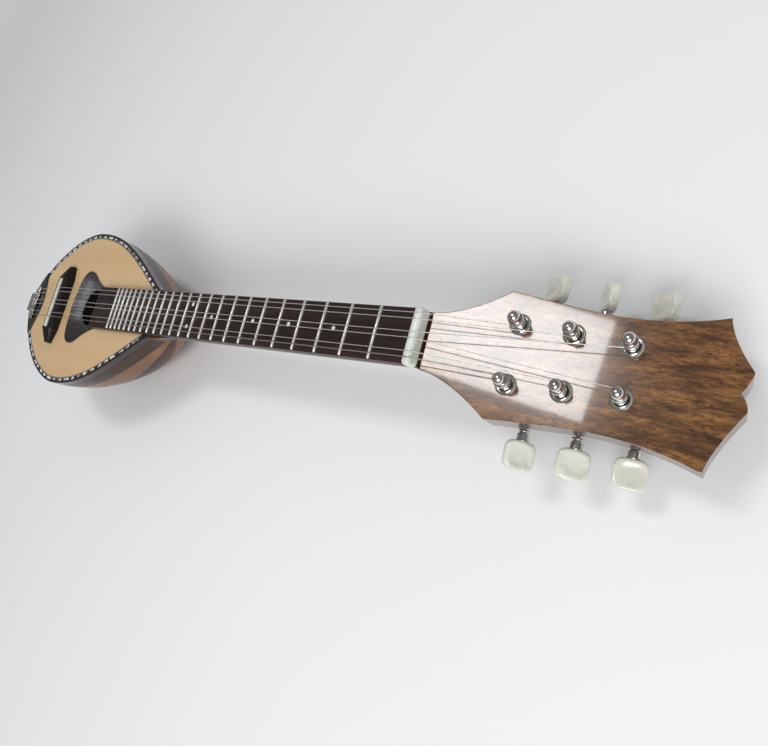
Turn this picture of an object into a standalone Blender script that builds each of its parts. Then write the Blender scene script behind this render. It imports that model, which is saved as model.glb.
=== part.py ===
# Small long-necked bowl-back lute with three double courses, built as separate pieces.
# Drawing frame: x = 0 at the nut, +x to the headstock tip, +y to the far side, z = 0 on the fingerboard.
# All sizes are metres. The last step moves everything so the origin is the middle of the bounding box's foot.
import bpy
import bmesh
import math
from mathutils import Vector, Matrix

# One millimetre, and the clearance left between touching pieces
MM = 0.001
GAP = 0.0003

# Neck and fingerboard
SCALE_LENGTH = 0.360
FRET_COUNT = 24
BOARD_WIDTH_NUT = 0.0267
BOARD_WIDTH_SADDLE = 0.0317
BOARD_END_TO_SADDLE_LINE = 0.0625
BOARD_THICKNESS = 0.0050
FRET_WIDTH = 0.0016
FRET_HEIGHT = 0.0009
FRET_SET_IN = 0.0005
FRET_END_INSET = 0.0003
NECK_DEPTH_NUT = 0.0120
NECK_DEPTH_BODY = 0.0135
HEEL_BLEND_LENGTH = 0.034
NECK_SECTION_POINTS = 12
NECK_ROUNDNESS = 2.25

# Body outline and bowl
BODY_FRONT_TO_SADDLE_LINE = 0.1338
BODY_WIDEST_TO_SADDLE_LINE = 0.0220
SADDLE_LINE_TO_TAIL = 0.0580
BODY_HALF_WIDTH = 0.061
JOINT_HALF_WIDTH = 0.017
TAIL_ROUNDNESS = 1.70
FLANK_SWELL = 0.56
BOWL_DEEPEST_TO_SADDLE_LINE = 0.0250
BOWL_DEPTH = 0.065
JOINT_DEPTH = 0.024
TAIL_DEPTH_ROUNDNESS = 2.1
HEEL_ROUNDNESS = 3.2
BOWL_SECTION_ROUNDNESS = 2.25
OUTLINE_STATIONS = 18
RIB_COUNT = 7
RIB_THICKNESS = 0.0018
RIB_STATIONS = 12
RIB_FACETS = 2
RIB_END_RUN = 0.006
RIB_OFFSET_LIMIT = 0.0045
SKIRT_DEPTH = 0.016
SKIRT_THICKNESS = 0.0020

# Soundboard, edge work and inner blocks
SOUNDBOARD_THICKNESS = 0.0026
BINDING_WIDTH = 0.0020
BINDING_DEPTH = 0.0050
PURFLING_WIDTH = 0.0026
PURFLING_DEPTH = 0.0015
SOUNDHOLE_RUN = 0.0120
SOUNDHOLE_HALF_LENGTH = 0.0125
SOUNDHOLE_HALF_WIDTH = 0.0140
HOLE_SIDES = 24
HOLE_CUTTER_LENGTH = 0.020
BRACE_FRONT_RUN = 0.0070
BRACE_REAR_RUN = 0.0090
BRACE_WIDTH = 0.0045
BRACE_HEIGHT = 0.0055
BRACE_END_HEIGHT = 0.0015
BRACE_END_INSET = 0.0052
BRACE_FULL_SHARE = 0.7
NECK_BLOCK_LENGTH = 0.016
NECK_BLOCK_INSET = 0.0009
TAIL_BLOCK_RUN = 0.022
TAIL_CAP_STEPS = 5

# Pickguard
GUARD_THICKNESS = 0.0009
GUARD_NOTCH_RUN = 0.0450
GUARD_LOBE_RUN = 0.0428
GUARD_LOBE_Y = 0.0185
GUARD_TIP_RUN = 0.0322
GUARD_TIP_Y = 0.0288
GUARD_SHOULDER_RUN = 0.0185
GUARD_SHOULDER_Y = 0.0228
GUARD_FRONT_Y = 0.0155
GUARD_HOLE_MARGIN = 0.0006
GUARD_CURVE_STEPS = 4

# Bridge, saddle, nut and tailpiece
BRIDGE_SETBACK = 0.0010
BRIDGE_HALF_LENGTH = 0.0315
BRIDGE_SHOULDER_Y = 0.0210
BRIDGE_WIDTH = 0.0138
BRIDGE_END_WIDTH = 0.0066
BRIDGE_HEIGHT = 0.0070
BRIDGE_END_HEIGHT = 0.0030
SADDLE_SETBACK = 0.0005
SADDLE_WIDTH = 0.0028
SADDLE_HALF_LENGTH = 0.0202
SADDLE_SLOT_DEPTH = 0.0025
SADDLE_TOP_Z = 0.0035
SADDLE_EDGE = 0.0006
NUT_LENGTH = 0.0050
NUT_TOP_Z = 0.0014
NUT_EDGE = 0.0012
NUT_BACK_RUN = 0.0012
NUT_BACK_FALL = 0.0026
NUT_END_INSET = 0.0001
TAIL_GUARD_THICKNESS = 0.0008
TAIL_GUARD_RUN = 0.0210
TAIL_GUARD_CORNER_RUN = 0.0135
TAIL_GUARD_EDGE_INSET = 0.0008
TAIL_GUARD_STEPS = 8
TAILPIECE_THICKNESS = 0.0010
TAILPIECE_RUN = 0.0135
TAILPIECE_BAR_LENGTH = 0.0040
TAILPIECE_BAR_HALF_WIDTH = 0.0140
TAILPIECE_LEAF_HALF_WIDTH = 0.0075
TAILPIECE_STAND_OFF = 0.0006
TAILPIECE_DROP = 0.0150
TAILPIECE_BEND = 0.0010
TAILPIECE_RIDGE = 0.0004
TAILPIECE_LIP = 0.0001
TAIL_PIN_RADIUS = 0.0008
TAIL_PIN_HEIGHT = 0.0034

# Strings: three courses of two
STRING_COUNT = 6
COURSE_AT_NUT = 0.0091
COURSE_AT_SADDLE = 0.0104
COURSE_AT_TAIL = 0.0090
PAIR_AT_NUT = 0.00145
PAIR_AT_SADDLE = 0.00165
PAIR_AT_TAIL = 0.0016
STRING_RADII = {1: 0.00018, 2: 0.00018, 3: 0.00020, 4: 0.00020, 5: 0.00018, 6: 0.00026}
WINDING_LOOPS = 2
WINDING_POINTS = 24
WINDING_SPARE = 0.0005
WINDING_START = 0.0008
STRING_ON_PIN = 0.0012

# Headstock
HEAD_TILT = math.radians(12.9)
HEAD_THICKNESS = 0.0165
VENEER_THICKNESS = 0.0015
HEAD_STEP = 0.00089
HEAD_NUT_HALF = 0.0137
SHOULDER_S = 0.0360
SHOULDER_HALF = 0.0290
SHOULDER_POWER = 1.7
WAIST_S = 0.0800
WAIST_HALF = 0.0246
WAIST_POWER = 1.25
CORNER_S = 0.1233
CORNER_HALF = 0.0304
CORNER_POWER = 2.5
CORNER_LEAN = 0.0028
LOBE_S = 0.1342
LOBE_Y = 0.0078
COVE_POWER = 1.45
NOTCH_S = 0.1311
VENEER_START_S = 0.0011
CORE_BLEND_S = 0.0120

# Tuners
POST_FIRST_S = 0.0426
POST_PITCH = 0.0236
POST_FIRST_Y = 0.0135
POST_Y_STEP = 0.0013
POST_RADIUS = 0.00285
POST_WAIST_RADIUS = 0.0022
POST_KNOB_RADIUS = 0.0022
POST_KNOB_HEIGHT = 0.0118
POST_NECK_RADIUS = 0.0014
POST_COLLAR_RADIUS = 0.0029
POST_COLLAR_HEIGHT = 0.0006
POST_COLLAR_SLOPE = 0.0005
POST_WINDING_TOP = 0.0082
POST_WINDING_FOOT = 0.0037
POST_FOOT_RADIUS = 0.0020
POST_FOOT_SLOPE = 0.0004
POST_FOOT_DROP = 0.0006
ROUND_SIDES = 10
BUSHING_WALL = 0.0007
BUSHING_DEPTH = 0.0080
BUSHING_FLANGE_RADIUS = 0.0048
BUSHING_FLANGE_HEIGHT = 0.0012
GEAR_TEETH = 14
GEAR_PITCH_RADIUS = 0.0042
GEAR_THICKNESS = 0.0024
GEAR_TOOTH_UP = 0.0006
GEAR_TOOTH_DOWN = 0.00065
GEAR_TOOTH_BASE = 0.00094
GEAR_TOOTH_TIP = 0.00038
WORM_PITCH_RADIUS = 0.0020
WORM_TOOTH_UP = 0.0005
WORM_ROOT_RADIUS = 0.00145
WORM_SHAFT_RADIUS = 0.0013
WORM_CREST = 0.00042
WORM_BASE = 0.00112
WORM_TURNS = 3
WORM_SIDES = 10
WORM_DROP = 0.0056
WORM_SHAFT_SPARE = 0.0005
EAR_INNER = 0.0043
EAR_THICKNESS = 0.0012
EAR_HALF_WIDTH = 0.0030
EAR_REACH = 0.0028
PLATE_THICKNESS = 0.0010
PLATE_RUN_BEFORE = 0.0095
PLATE_RUN_AFTER = 0.0172
PLATE_MARGIN_Y = 0.0022
SCREW_RADIUS = 0.0019
SCREW_HEAD_RADIUS = 0.0011
SCREW_HEIGHT = 0.0008
SCREW_AFTER_POST = 0.0150
SCREW_BEFORE_POST = 0.0068
BUTTON_START = 0.0145
BUTTON_BORE_DEPTH = 0.0060
BUTTON_STEM_LENGTH = 0.0036
BUTTON_STEM_RADIUS = 0.0030
BUTTON_LENGTH = 0.0153
BUTTON_HALF_WIDTH = 0.0076
BUTTON_HALF_THICKNESS = 0.0031
BUTTON_SIDES = 12
BUTTON_FORM = ((0.10, 0.82, 1.0), (0.30, 0.97, 1.0), (0.62, 1.0, 0.95), (0.86, 0.88, 0.8), (0.97, 0.55, 0.5))
BUTTON_TURNS = {1: 38.0, 2: 62.0, 3: 38.0, 4: 28.0, 5: 20.0, 6: 8.0}

# Values that follow from the ones above
TOP_Z = -(BOARD_THICKNESS + GAP)
BOARD_FOOT_Z = TOP_Z + GAP
BOARD_END_X = BOARD_END_TO_SADDLE_LINE - SCALE_LENGTH
BODY_FRONT_X = BODY_FRONT_TO_SADDLE_LINE - SCALE_LENGTH
BODY_WIDEST_X = BODY_WIDEST_TO_SADDLE_LINE - SCALE_LENGTH
BODY_TAIL_X = -(SCALE_LENGTH + SADDLE_LINE_TO_TAIL)
BOWL_DEEPEST_X = BOWL_DEEPEST_TO_SADDLE_LINE - SCALE_LENGTH
SOUNDHOLE_X = BOARD_END_X - SOUNDHOLE_RUN
BRACE_FRONT_X = SOUNDHOLE_X + SOUNDHOLE_HALF_LENGTH + BRACE_FRONT_RUN
BRACE_REAR_X = SOUNDHOLE_X - SOUNDHOLE_HALF_LENGTH - BRACE_REAR_RUN
BRIDGE_X = -(SCALE_LENGTH + BRIDGE_SETBACK)
SADDLE_X = -(SCALE_LENGTH + SADDLE_SETBACK)
RIB_TAIL_X = BODY_TAIL_X + RIB_END_RUN
TAIL_BLOCK_FRONT_X = BODY_TAIL_X + TAIL_BLOCK_RUN
TAIL_GUARD_TOP_Z = BOARD_FOOT_Z + TAIL_GUARD_THICKNESS
TAILPIECE_FRONT_X = BODY_TAIL_X + TAILPIECE_RUN
TAILPIECE_TOP_Z = TAIL_GUARD_TOP_Z + GAP + TAILPIECE_THICKNESS
HEAD_ORIGIN = Vector((NUT_LENGTH, 0.0, TOP_Z - HEAD_STEP))
POST_LAST_S = POST_FIRST_S + 2.0 * POST_PITCH
POST_LAST_Y = POST_FIRST_Y - 2.0 * POST_Y_STEP
BUSHING_BORE_RADIUS = POST_RADIUS + GAP
BUSHING_RADIUS = BUSHING_BORE_RADIUS + BUSHING_WALL
POST_HOLE_RADIUS = BUSHING_RADIUS + GAP
GEAR_PITCH = 2.0 * math.pi * GEAR_PITCH_RADIUS / GEAR_TEETH
WORM_OFFSET_S = GEAR_PITCH_RADIUS + WORM_PITCH_RADIUS
WORM_HOLE_RADIUS = WORM_SHAFT_RADIUS + GAP
WORM_AXIS_OFF = -(HEAD_THICKNESS + WORM_DROP)
PLATE_TOP_OFF = -(HEAD_THICKNESS + GAP)
PLATE_BOTTOM_OFF = PLATE_TOP_OFF - PLATE_THICKNESS
PLATE_START_S = POST_FIRST_S - PLATE_RUN_BEFORE
PLATE_END_S = POST_LAST_S + PLATE_RUN_AFTER
PLATE_INNER_Y = POST_LAST_Y - EAR_INNER - EAR_THICKNESS - 0.5 * PLATE_MARGIN_Y
PLATE_OUTER_Y = POST_FIRST_Y + EAR_INNER + EAR_THICKNESS + PLATE_MARGIN_Y


def clear_scene():
    for old in list(bpy.data.objects):
        bpy.data.objects.remove(old, do_unlink=True)


def new_collection(name):
    made = bpy.data.collections.new(name)
    bpy.context.scene.collection.children.link(made)
    return made


clear_scene()
PARTS = new_collection("bowl_back_lute")
CUTTERS = new_collection("cutters")


def new_material(name, colour, metallic, roughness):
    made = bpy.data.materials.new(name)
    made.use_nodes = True
    shader = made.node_tree.nodes["Principled BSDF"]
    shader.inputs["Base Color"].default_value = (*colour, 1.0)
    shader.inputs["Metallic"].default_value = metallic
    shader.inputs["Roughness"].default_value = roughness
    made.diffuse_color = (*colour, 1.0)
    return made


SPRUCE = ((0.62, 0.42, 0.22), 0.0, 0.35)
DARK_WOOD = ((0.09, 0.035, 0.02), 0.0, 0.30)
LIGHT_WOOD = ((0.36, 0.19, 0.09), 0.0, 0.30)
NECK_WOOD = ((0.22, 0.09, 0.04), 0.0, 0.35)
BOARD_WOOD = ((0.06, 0.03, 0.025), 0.0, 0.45)
EBONY = ((0.015, 0.013, 0.012), 0.0, 0.40)
BONE = ((0.86, 0.82, 0.72), 0.0, 0.40)
PEARL = ((0.80, 0.80, 0.78), 0.0, 0.25)
BLACK_GLOSS = ((0.01, 0.01, 0.012), 0.0, 0.10)
NICKEL = ((0.72, 0.70, 0.66), 1.0, 0.20)
STEEL = ((0.60, 0.60, 0.60), 1.0, 0.25)


def from_bmesh(name, work):
    mesh = bpy.data.meshes.new(name)
    bmesh.ops.recalc_face_normals(work, faces=work.faces)
    work.to_mesh(mesh)
    work.free()
    return bpy.data.objects.new(name, mesh)


def from_faces(name, verts, faces):
    mesh = bpy.data.meshes.new(name)
    mesh.from_pydata([tuple(v) for v in verts], [], faces)
    work = bmesh.new()
    work.from_mesh(mesh)
    bpy.data.meshes.remove(mesh)
    return from_bmesh(name, work)


def part(obj, look, smooth=False):
    # Puts a sub-part in the instrument's collection with its own material
    PARTS.objects.link(obj)
    obj.data.materials.append(new_material(obj.name, *look))
    if smooth:
        obj.data.shade_smooth()
    else:
        obj.data.shade_flat()
    return obj


def tool(obj):
    # Puts a shape that only cuts or adds in the other collection
    CUTTERS.objects.link(obj)
    obj.hide_render = True
    obj.display_type = "WIRE"
    return obj


def combine(target, other, operation):
    step = target.modifiers.new(operation.lower() + "_" + other.name, "BOOLEAN")
    step.operation = operation
    step.solver = "EXACT"
    step.object = other


def join_solids(solids):
    # Puts several closed solids that don't touch into one list of points and faces
    verts = []
    faces = []
    for more_verts, more_faces in solids:
        base = len(verts)
        verts += list(more_verts)
        faces += [tuple(i + base for i in face) for face in more_faces]
    return verts, faces


def loft(rings, start_point=None, end_point=None):
    # Closed skin over a row of equal rings; each end is a flat face or a fan to a point
    verts = [v for ring in rings for v in ring]
    count = len(rings[0])
    faces = []
    for i in range(len(rings) - 1):
        for j in range(count):
            k = (j + 1) % count
            faces.append((i * count + j, i * count + k, (i + 1) * count + k, (i + 1) * count + j))
    last = (len(rings) - 1) * count
    for point, base in ((start_point, 0), (end_point, last)):
        if point is None:
            faces.append(tuple(base + j for j in range(count)))
        else:
            verts.append(point)
            tip = len(verts) - 1
            faces += [(base + j, base + (j + 1) % count, tip) for j in range(count)]
    return verts, faces


def shell(outer, inner):
    # Closed slab between two grids of points of the same shape
    rows = len(outer)
    cols = len(outer[0])
    verts = [p for row in outer for p in row] + [p for row in inner for p in row]
    under = rows * cols
    faces = []
    for i in range(rows - 1):
        for j in range(cols - 1):
            a = i * cols + j
            quad = (a, a + 1, a + cols + 1, a + cols)
            faces.append(quad)
            faces.append(tuple(q + under for q in reversed(quad)))
    edge = [j for j in range(cols)]
    edge += [i * cols + cols - 1 for i in range(1, rows)]
    edge += [(rows - 1) * cols + j for j in range(cols - 2, -1, -1)]
    edge += [i * cols for i in range(rows - 2, 0, -1)]
    for a, b in zip(edge, edge[1:] + edge[:1]):
        faces.append((a, b, b + under, a + under))
    return verts, faces


def cubes(name, spans):
    # Boxes in one mesh, each given by its two far corners
    work = bmesh.new()
    for low, high in spans:
        size = Vector(high) - Vector(low)
        middle = 0.5 * (Vector(high) + Vector(low))
        spread = Matrix.Translation(middle) @ Matrix.Diagonal((*size, 1.0))
        bmesh.ops.create_cube(work, size=1.0, matrix=spread)
    return from_bmesh(name, work)


def rods(name, places, radius, length, sides, tip_radius=None, axis="Z"):
    # Round bars or cones in one mesh, centred on the given points along one axis
    work = bmesh.new()
    turn = Matrix.Rotation(-0.5 * math.pi, 4, "X") if axis == "Y" else Matrix.Identity(4)
    for p in places:
        bmesh.ops.create_cone(work, cap_ends=True, segments=sides, radius1=radius,
                              radius2=radius if tip_radius is None else tip_radius, depth=length,
                              matrix=Matrix.Translation(p) @ turn)
    return from_bmesh(name, work)


def turned(name, profile, closed=False):
    # Piece turned about its own Z axis; profile holds (radius, height) pairs, down the outer side
    mesh = bpy.data.meshes.new(name)
    edges = [(i, i + 1) for i in range(len(profile) - 1)]
    if closed:
        edges.append((len(profile) - 1, 0))
    mesh.from_pydata([(radius, 0.0, height) for radius, height in profile], edges, [])
    made = bpy.data.objects.new(name, mesh)
    spin = made.modifiers.new("turn", "SCREW")
    spin.axis = "Z"
    spin.angle = 2.0 * math.pi
    spin.steps = ROUND_SIDES
    spin.render_steps = ROUND_SIDES
    spin.use_merge_vertices = True
    spin.merge_threshold = 0.00001
    return made


def mesh_from_curve(name, curve):
    # Mesh of a curve with its caps welded on
    holder = bpy.data.objects.new(name + "_line", curve)
    CUTTERS.objects.link(holder)
    bpy.context.view_layer.update()
    mesh = bpy.data.meshes.new_from_object(holder.evaluated_get(bpy.context.evaluated_depsgraph_get()))
    bpy.data.objects.remove(holder, do_unlink=True)
    work = bmesh.new()
    work.from_mesh(mesh)
    bpy.data.meshes.remove(mesh)
    bmesh.ops.remove_doubles(work, verts=work.verts, dist=0.000001)
    return from_bmesh(name, work)


def poly_curve(name, points, dimensions, cyclic):
    curve = bpy.data.curves.new(name + "_line", "CURVE")
    curve.dimensions = dimensions
    spline = curve.splines.new("POLY")
    spline.points.add(len(points) - 1)
    for target, p in zip(spline.points, points):
        target.co = (p[0], p[1], p[2] if dimensions == "3D" else 0.0, 1.0)
    spline.use_cyclic_u = cyclic
    return curve


def flat_outline(name, loop, low, high):
    # Flat outline in X and Y, filled from one height to another
    curve = poly_curve(name, loop, "2D", True)
    curve.fill_mode = "BOTH"
    curve.extrude = 0.5 * (high - low)
    made = mesh_from_curve(name, curve)
    made.data.transform(Matrix.Translation((0.0, 0.0, 0.5 * (low + high))))
    return made


def across(name, profile, half):
    # Profile of (x, z) pairs carried across the instrument by the same amount each way
    made = flat_outline(name, profile, -half, half)
    made.rotation_euler.x = 0.5 * math.pi
    return made


def on_head(s, y, off):
    # Point given along the headstock face, across it, and above it
    along = Vector((math.cos(HEAD_TILT), 0.0, -math.sin(HEAD_TILT)))
    up = Vector((math.sin(HEAD_TILT), 0.0, math.cos(HEAD_TILT)))
    return HEAD_ORIGIN + along * s + up * off + Vector((0.0, y, 0.0))


def set_on_head(obj, s=0.0, y=0.0, off=0.0):
    # Gives an object the headstock's tilt, with its origin at a point of the headstock
    obj.location = on_head(s, y, off)
    obj.rotation_euler.y = HEAD_TILT
    return obj


def mirrored(half):
    # Whole outline from its far half, which runs from one point on the centre line to the other
    return list(half) + [(p[0], -p[1]) for p in reversed(half) if p[1] > 0.0]


def board_half(x):
    return 0.5 * (BOARD_WIDTH_NUT + (BOARD_WIDTH_SADDLE - BOARD_WIDTH_NUT) * (-x / SCALE_LENGTH))


def body_half(x):
    # Half width of the body's outline
    if x <= BODY_WIDEST_X:
        t = min(1.0, (BODY_WIDEST_X - x) / (BODY_WIDEST_X - BODY_TAIL_X))
        return BODY_HALF_WIDTH * (1.0 - t ** TAIL_ROUNDNESS) ** (1.0 / TAIL_ROUNDNESS)
    t = (x - BODY_WIDEST_X) / (BODY_FRONT_X - BODY_WIDEST_X)
    fall = t * t * (1.0 + FLANK_SWELL * t * (1.0 - t))
    return BODY_HALF_WIDTH - (BODY_HALF_WIDTH - JOINT_HALF_WIDTH) * fall


def body_depth(x):
    # Depth of the bowl's keel below the soundboard face
    if x <= BOWL_DEEPEST_X:
        t = min(1.0, (BOWL_DEEPEST_X - x) / (BOWL_DEEPEST_X - BODY_TAIL_X))
        return BOWL_DEPTH * (1.0 - t ** TAIL_DEPTH_ROUNDNESS) ** (1.0 / TAIL_DEPTH_ROUNDNESS)
    t = (x - BOWL_DEEPEST_X) / (BODY_FRONT_X - BOWL_DEEPEST_X)
    return JOINT_DEPTH + (BOWL_DEPTH - JOINT_DEPTH) * (1.0 - t ** HEEL_ROUNDNESS)


def tail_at_depth(depth):
    share = (depth / BOWL_DEPTH) ** TAIL_DEPTH_ROUNDNESS
    reach = (1.0 - share) ** (1.0 / TAIL_DEPTH_ROUNDNESS)
    return BOWL_DEEPEST_X - (BOWL_DEEPEST_X - BODY_TAIL_X) * reach


def half_at_depth(x, depth):
    share = min(1.0, depth / max(body_depth(x), 1e-9)) ** BOWL_SECTION_ROUNDNESS
    return body_half(x) * (1.0 - share) ** (1.0 / BOWL_SECTION_ROUNDNESS)


def bowl_point(x, angle):
    # Point of the bowl's outside at a roll angle about the line under the strings
    wide = abs(math.cos(angle)) / max(body_half(x), 1e-6)
    deep = math.sin(angle) / max(body_depth(x), 1e-6)
    power = BOWL_SECTION_ROUNDNESS
    r = (wide ** power + deep ** power) ** (-1.0 / power)
    return Vector((x, r * math.cos(angle), TOP_Z - r * math.sin(angle)))


def bowl_inner_shift(x, angle, depth):
    # Move inside the section plane that leaves a wall of the given thickness
    step = 0.0001
    along = bowl_point(x + step, angle) - bowl_point(x - step, angle)
    across = bowl_point(x, angle + step) - bowl_point(x, angle - step)
    normal = along.cross(across).normalized()
    if normal.dot(Vector((0.0, math.cos(angle), -math.sin(angle)))) < 0.0:
        normal.negate()
    flat = Vector((0.0, normal.y, normal.z))
    size = flat.length
    return -flat.normalized() * min(depth / size, RIB_OFFSET_LIMIT)


def level_loop(depth, inset):
    # Line of the body at one depth, from the far front corner round the tail to the near one
    tail = tail_at_depth(depth)
    length = BODY_FRONT_X - tail
    far = []
    for i in range(OUTLINE_STATIONS):
        x = tail + length * (1.0 - math.sin(0.5 * math.pi * i / OUTLINE_STATIONS))
        far.append(Vector((x, half_at_depth(x, depth), 0.0)))
    line = far + [Vector((tail, 0.0, 0.0))] + [Vector((p.x, -p.y, 0.0)) for p in reversed(far)]
    moved = []
    for i, p in enumerate(line):
        before = line[max(i - 1, 0)]
        after = line[min(i + 1, len(line) - 1)]
        run = (after - before).normalized()
        inward = Vector((-run.y, run.x, 0.0))
        if i in (0, len(line) - 1):
            inward = Vector((0.0, 1.0 / inward.y, 0.0))
        moved.append(p + inward * inset)
    return moved


def edge_band(name, rows, look):
    # Band that follows the body's edge; rows give (depth of the line, inset, height below the top)
    lines = []
    for depth, inset, drop in rows:
        lines.append([Vector((p.x, p.y, TOP_Z - drop)) for p in level_loop(depth, inset)])
    rings = [[line[i] for line in lines] for i in range(len(lines[0]))]
    return part(from_faces(name, *loft(rings)), look)


def make_edge_work():
    edge_band("edge_binding", (
        (0.0, 0.0, 0.0),
        (BINDING_DEPTH, 0.0, BINDING_DEPTH),
        (BINDING_DEPTH, BINDING_WIDTH, BINDING_DEPTH),
        (0.0, BINDING_WIDTH, 0.0),
    ), DARK_WOOD)
    start = BINDING_WIDTH + GAP
    end = start + PURFLING_WIDTH
    edge_band("pearl_purfling", (
        (0.0, start, 0.0),
        (0.0, start, PURFLING_DEPTH),
        (0.0, end, PURFLING_DEPTH),
        (0.0, end, 0.0),
    ), PEARL)
    upper = BINDING_DEPTH + GAP
    middle = 0.5 * (upper + SKIRT_DEPTH)
    edge_band("skirt", (
        (upper, 0.0, upper),
        (middle, 0.0, middle),
        (SKIRT_DEPTH, 0.0, SKIRT_DEPTH),
        (SKIRT_DEPTH, SKIRT_THICKNESS, SKIRT_DEPTH),
        (middle, SKIRT_THICKNESS, middle),
        (upper, SKIRT_THICKNESS, upper),
    ), DARK_WOOD)


def hole_through(name, margin, z):
    # Cutter for the oval soundhole
    hole = tool(rods(name, ((0.0, 0.0, 0.0),), 1.0, HOLE_CUTTER_LENGTH, HOLE_SIDES))
    across_and_along = (SOUNDHOLE_HALF_LENGTH + margin, SOUNDHOLE_HALF_WIDTH + margin, 1.0, 1.0)
    hole.data.transform(Matrix.Diagonal(across_and_along))
    hole.location = (SOUNDHOLE_X, 0.0, z)
    return hole


def make_soundboard():
    ledge_inset = BINDING_WIDTH + GAP
    face_inset = ledge_inset + PURFLING_WIDTH + GAP
    ledge_drop = PURFLING_DEPTH + GAP
    rows = (
        (face_inset, 0.0),
        (face_inset, ledge_drop),
        (ledge_inset, ledge_drop),
        (ledge_inset, SOUNDBOARD_THICKNESS),
    )
    rings = [[Vector((p.x, p.y, TOP_Z - drop)) for p in level_loop(0.0, inset)] for inset, drop in rows]
    for ring in rings[:2]:
        for end in (ring[0], ring[-1]):
            end.x -= GAP
    board = part(from_faces("soundboard", *loft(rings)), SPRUCE)
    combine(board, hole_through("soundhole_cut", 0.0, TOP_Z), "DIFFERENCE")


def smooth_half(points, steps):
    # Soft curve through the given half outline
    run = []
    for i in range(len(points) - 1):
        p0 = points[max(i - 1, 0)]
        p1 = points[i]
        p2 = points[i + 1]
        p3 = points[min(i + 2, len(points) - 1)]
        for k in range(steps):
            t = k / steps
            a = -0.5 * t ** 3 + t ** 2 - 0.5 * t
            b = 1.5 * t ** 3 - 2.5 * t ** 2 + 1.0
            c = -1.5 * t ** 3 + 2.0 * t ** 2 + 0.5 * t
            d = 0.5 * t ** 3 - 0.5 * t ** 2
            run.append(Vector([a * p0[n] + b * p1[n] + c * p2[n] + d * p3[n] for n in range(2)]))
    run.append(Vector(points[-1]))
    return run


def make_pickguard():
    half = smooth_half((
        (BOARD_END_X - GUARD_NOTCH_RUN, 0.0),
        (BOARD_END_X - GUARD_LOBE_RUN, GUARD_LOBE_Y),
        (BOARD_END_X - GUARD_TIP_RUN, GUARD_TIP_Y),
        (BOARD_END_X - GUARD_SHOULDER_RUN, GUARD_SHOULDER_Y),
        (BOARD_END_X - GAP, GUARD_FRONT_Y),
    ), GUARD_CURVE_STEPS)
    low = BOARD_FOOT_Z
    guard = part(flat_outline("pickguard", mirrored(half), low, low + GUARD_THICKNESS), BLACK_GLOSS)
    combine(guard, hole_through("guard_hole_cut", GUARD_HOLE_MARGIN, low), "DIFFERENCE")


def rib_start_angle(x, depth):
    return math.atan2(depth, half_at_depth(x, depth))


def make_ribs():
    top = SKIRT_DEPTH + GAP
    length = BODY_FRONT_X - RIB_TAIL_X
    stations = []
    for i in range(RIB_STATIONS):
        share = i / (RIB_STATIONS - 1)
        stations.append(RIB_TAIL_X + length * (0.5 - 0.5 * math.cos(math.pi * share)))
    for k in range(RIB_COUNT):
        outer = []
        inner = []
        for x in stations:
            first = rib_start_angle(x, top)
            span = math.pi - 2.0 * first
            half_gap = 0.5 * GAP / (bowl_point(x, 0.5 * math.pi) - Vector((x, 0.0, TOP_Z))).length
            a0 = first + span * k / RIB_COUNT + (half_gap if k > 0 else 0.0)
            a1 = first + span * (k + 1) / RIB_COUNT - (half_gap if k < RIB_COUNT - 1 else 0.0)
            outer_row = []
            inner_row = []
            for j in range(RIB_FACETS + 1):
                angle = a0 + (a1 - a0) * j / RIB_FACETS
                p = bowl_point(x, angle)
                shift = bowl_inner_shift(x, angle, RIB_THICKNESS)
                on_top = (k == 0 and j == 0) or (k == RIB_COUNT - 1 and j == RIB_FACETS)
                if on_top:
                    run = min(shift.length * shift.length / abs(shift.y), RIB_OFFSET_LIMIT)
                    shift = Vector((0.0, math.copysign(run, shift.y), 0.0))
                outer_row.append(p)
                inner_row.append(p + shift)
            outer.append(outer_row)
            inner.append(inner_row)
        look = LIGHT_WOOD if k % 2 == 0 else DARK_WOOD
        part(from_faces("rib_" + str(k + 1), *shell(outer, inner)), look)


def bowl_section(x, depth, count, wall):
    # Closed section of the bowl below a depth, moved in by the wall
    first = rib_start_angle(x, depth)
    ring = []
    for j in range(count + 1):
        angle = first + (math.pi - 2.0 * first) * j / count
        p = bowl_point(x, angle)
        if wall > 0.0:
            p = p + bowl_inner_shift(x, angle, wall)
        p.z = min(p.z, TOP_Z - depth)
        ring.append(p)
    return ring


def make_blocks():
    top = SKIRT_DEPTH + GAP
    tip = tail_at_depth(top)
    back = RIB_TAIL_X - GAP
    rings = []
    for i in range(1, TAIL_CAP_STEPS + 1):
        rings.append(bowl_section(tip + (back - tip) * (i / TAIL_CAP_STEPS) ** 2, top, 8, 0.0))
    part(from_faces("tail_cap", *loft(rings, start_point=Vector((tip, 0.0, TOP_Z - top)))), DARK_WOOD)
    wall = SKIRT_THICKNESS + NECK_BLOCK_INSET
    rings = []
    for i in range(4):
        x = BODY_FRONT_X - NECK_BLOCK_LENGTH * i / 3.0
        rings.append(bowl_section(x, SOUNDBOARD_THICKNESS + GAP, 12, wall))
    part(from_faces("neck_block", *loft(rings)), LIGHT_WOOD)
    line = [p for p in level_loop(SKIRT_DEPTH, SKIRT_THICKNESS + GAP) if p.x < TAIL_BLOCK_FRONT_X]
    block = flat_outline("tail_block", line, TOP_Z - SKIRT_DEPTH, TOP_Z - SOUNDBOARD_THICKNESS - GAP)
    part(block, LIGHT_WOOD)


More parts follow.
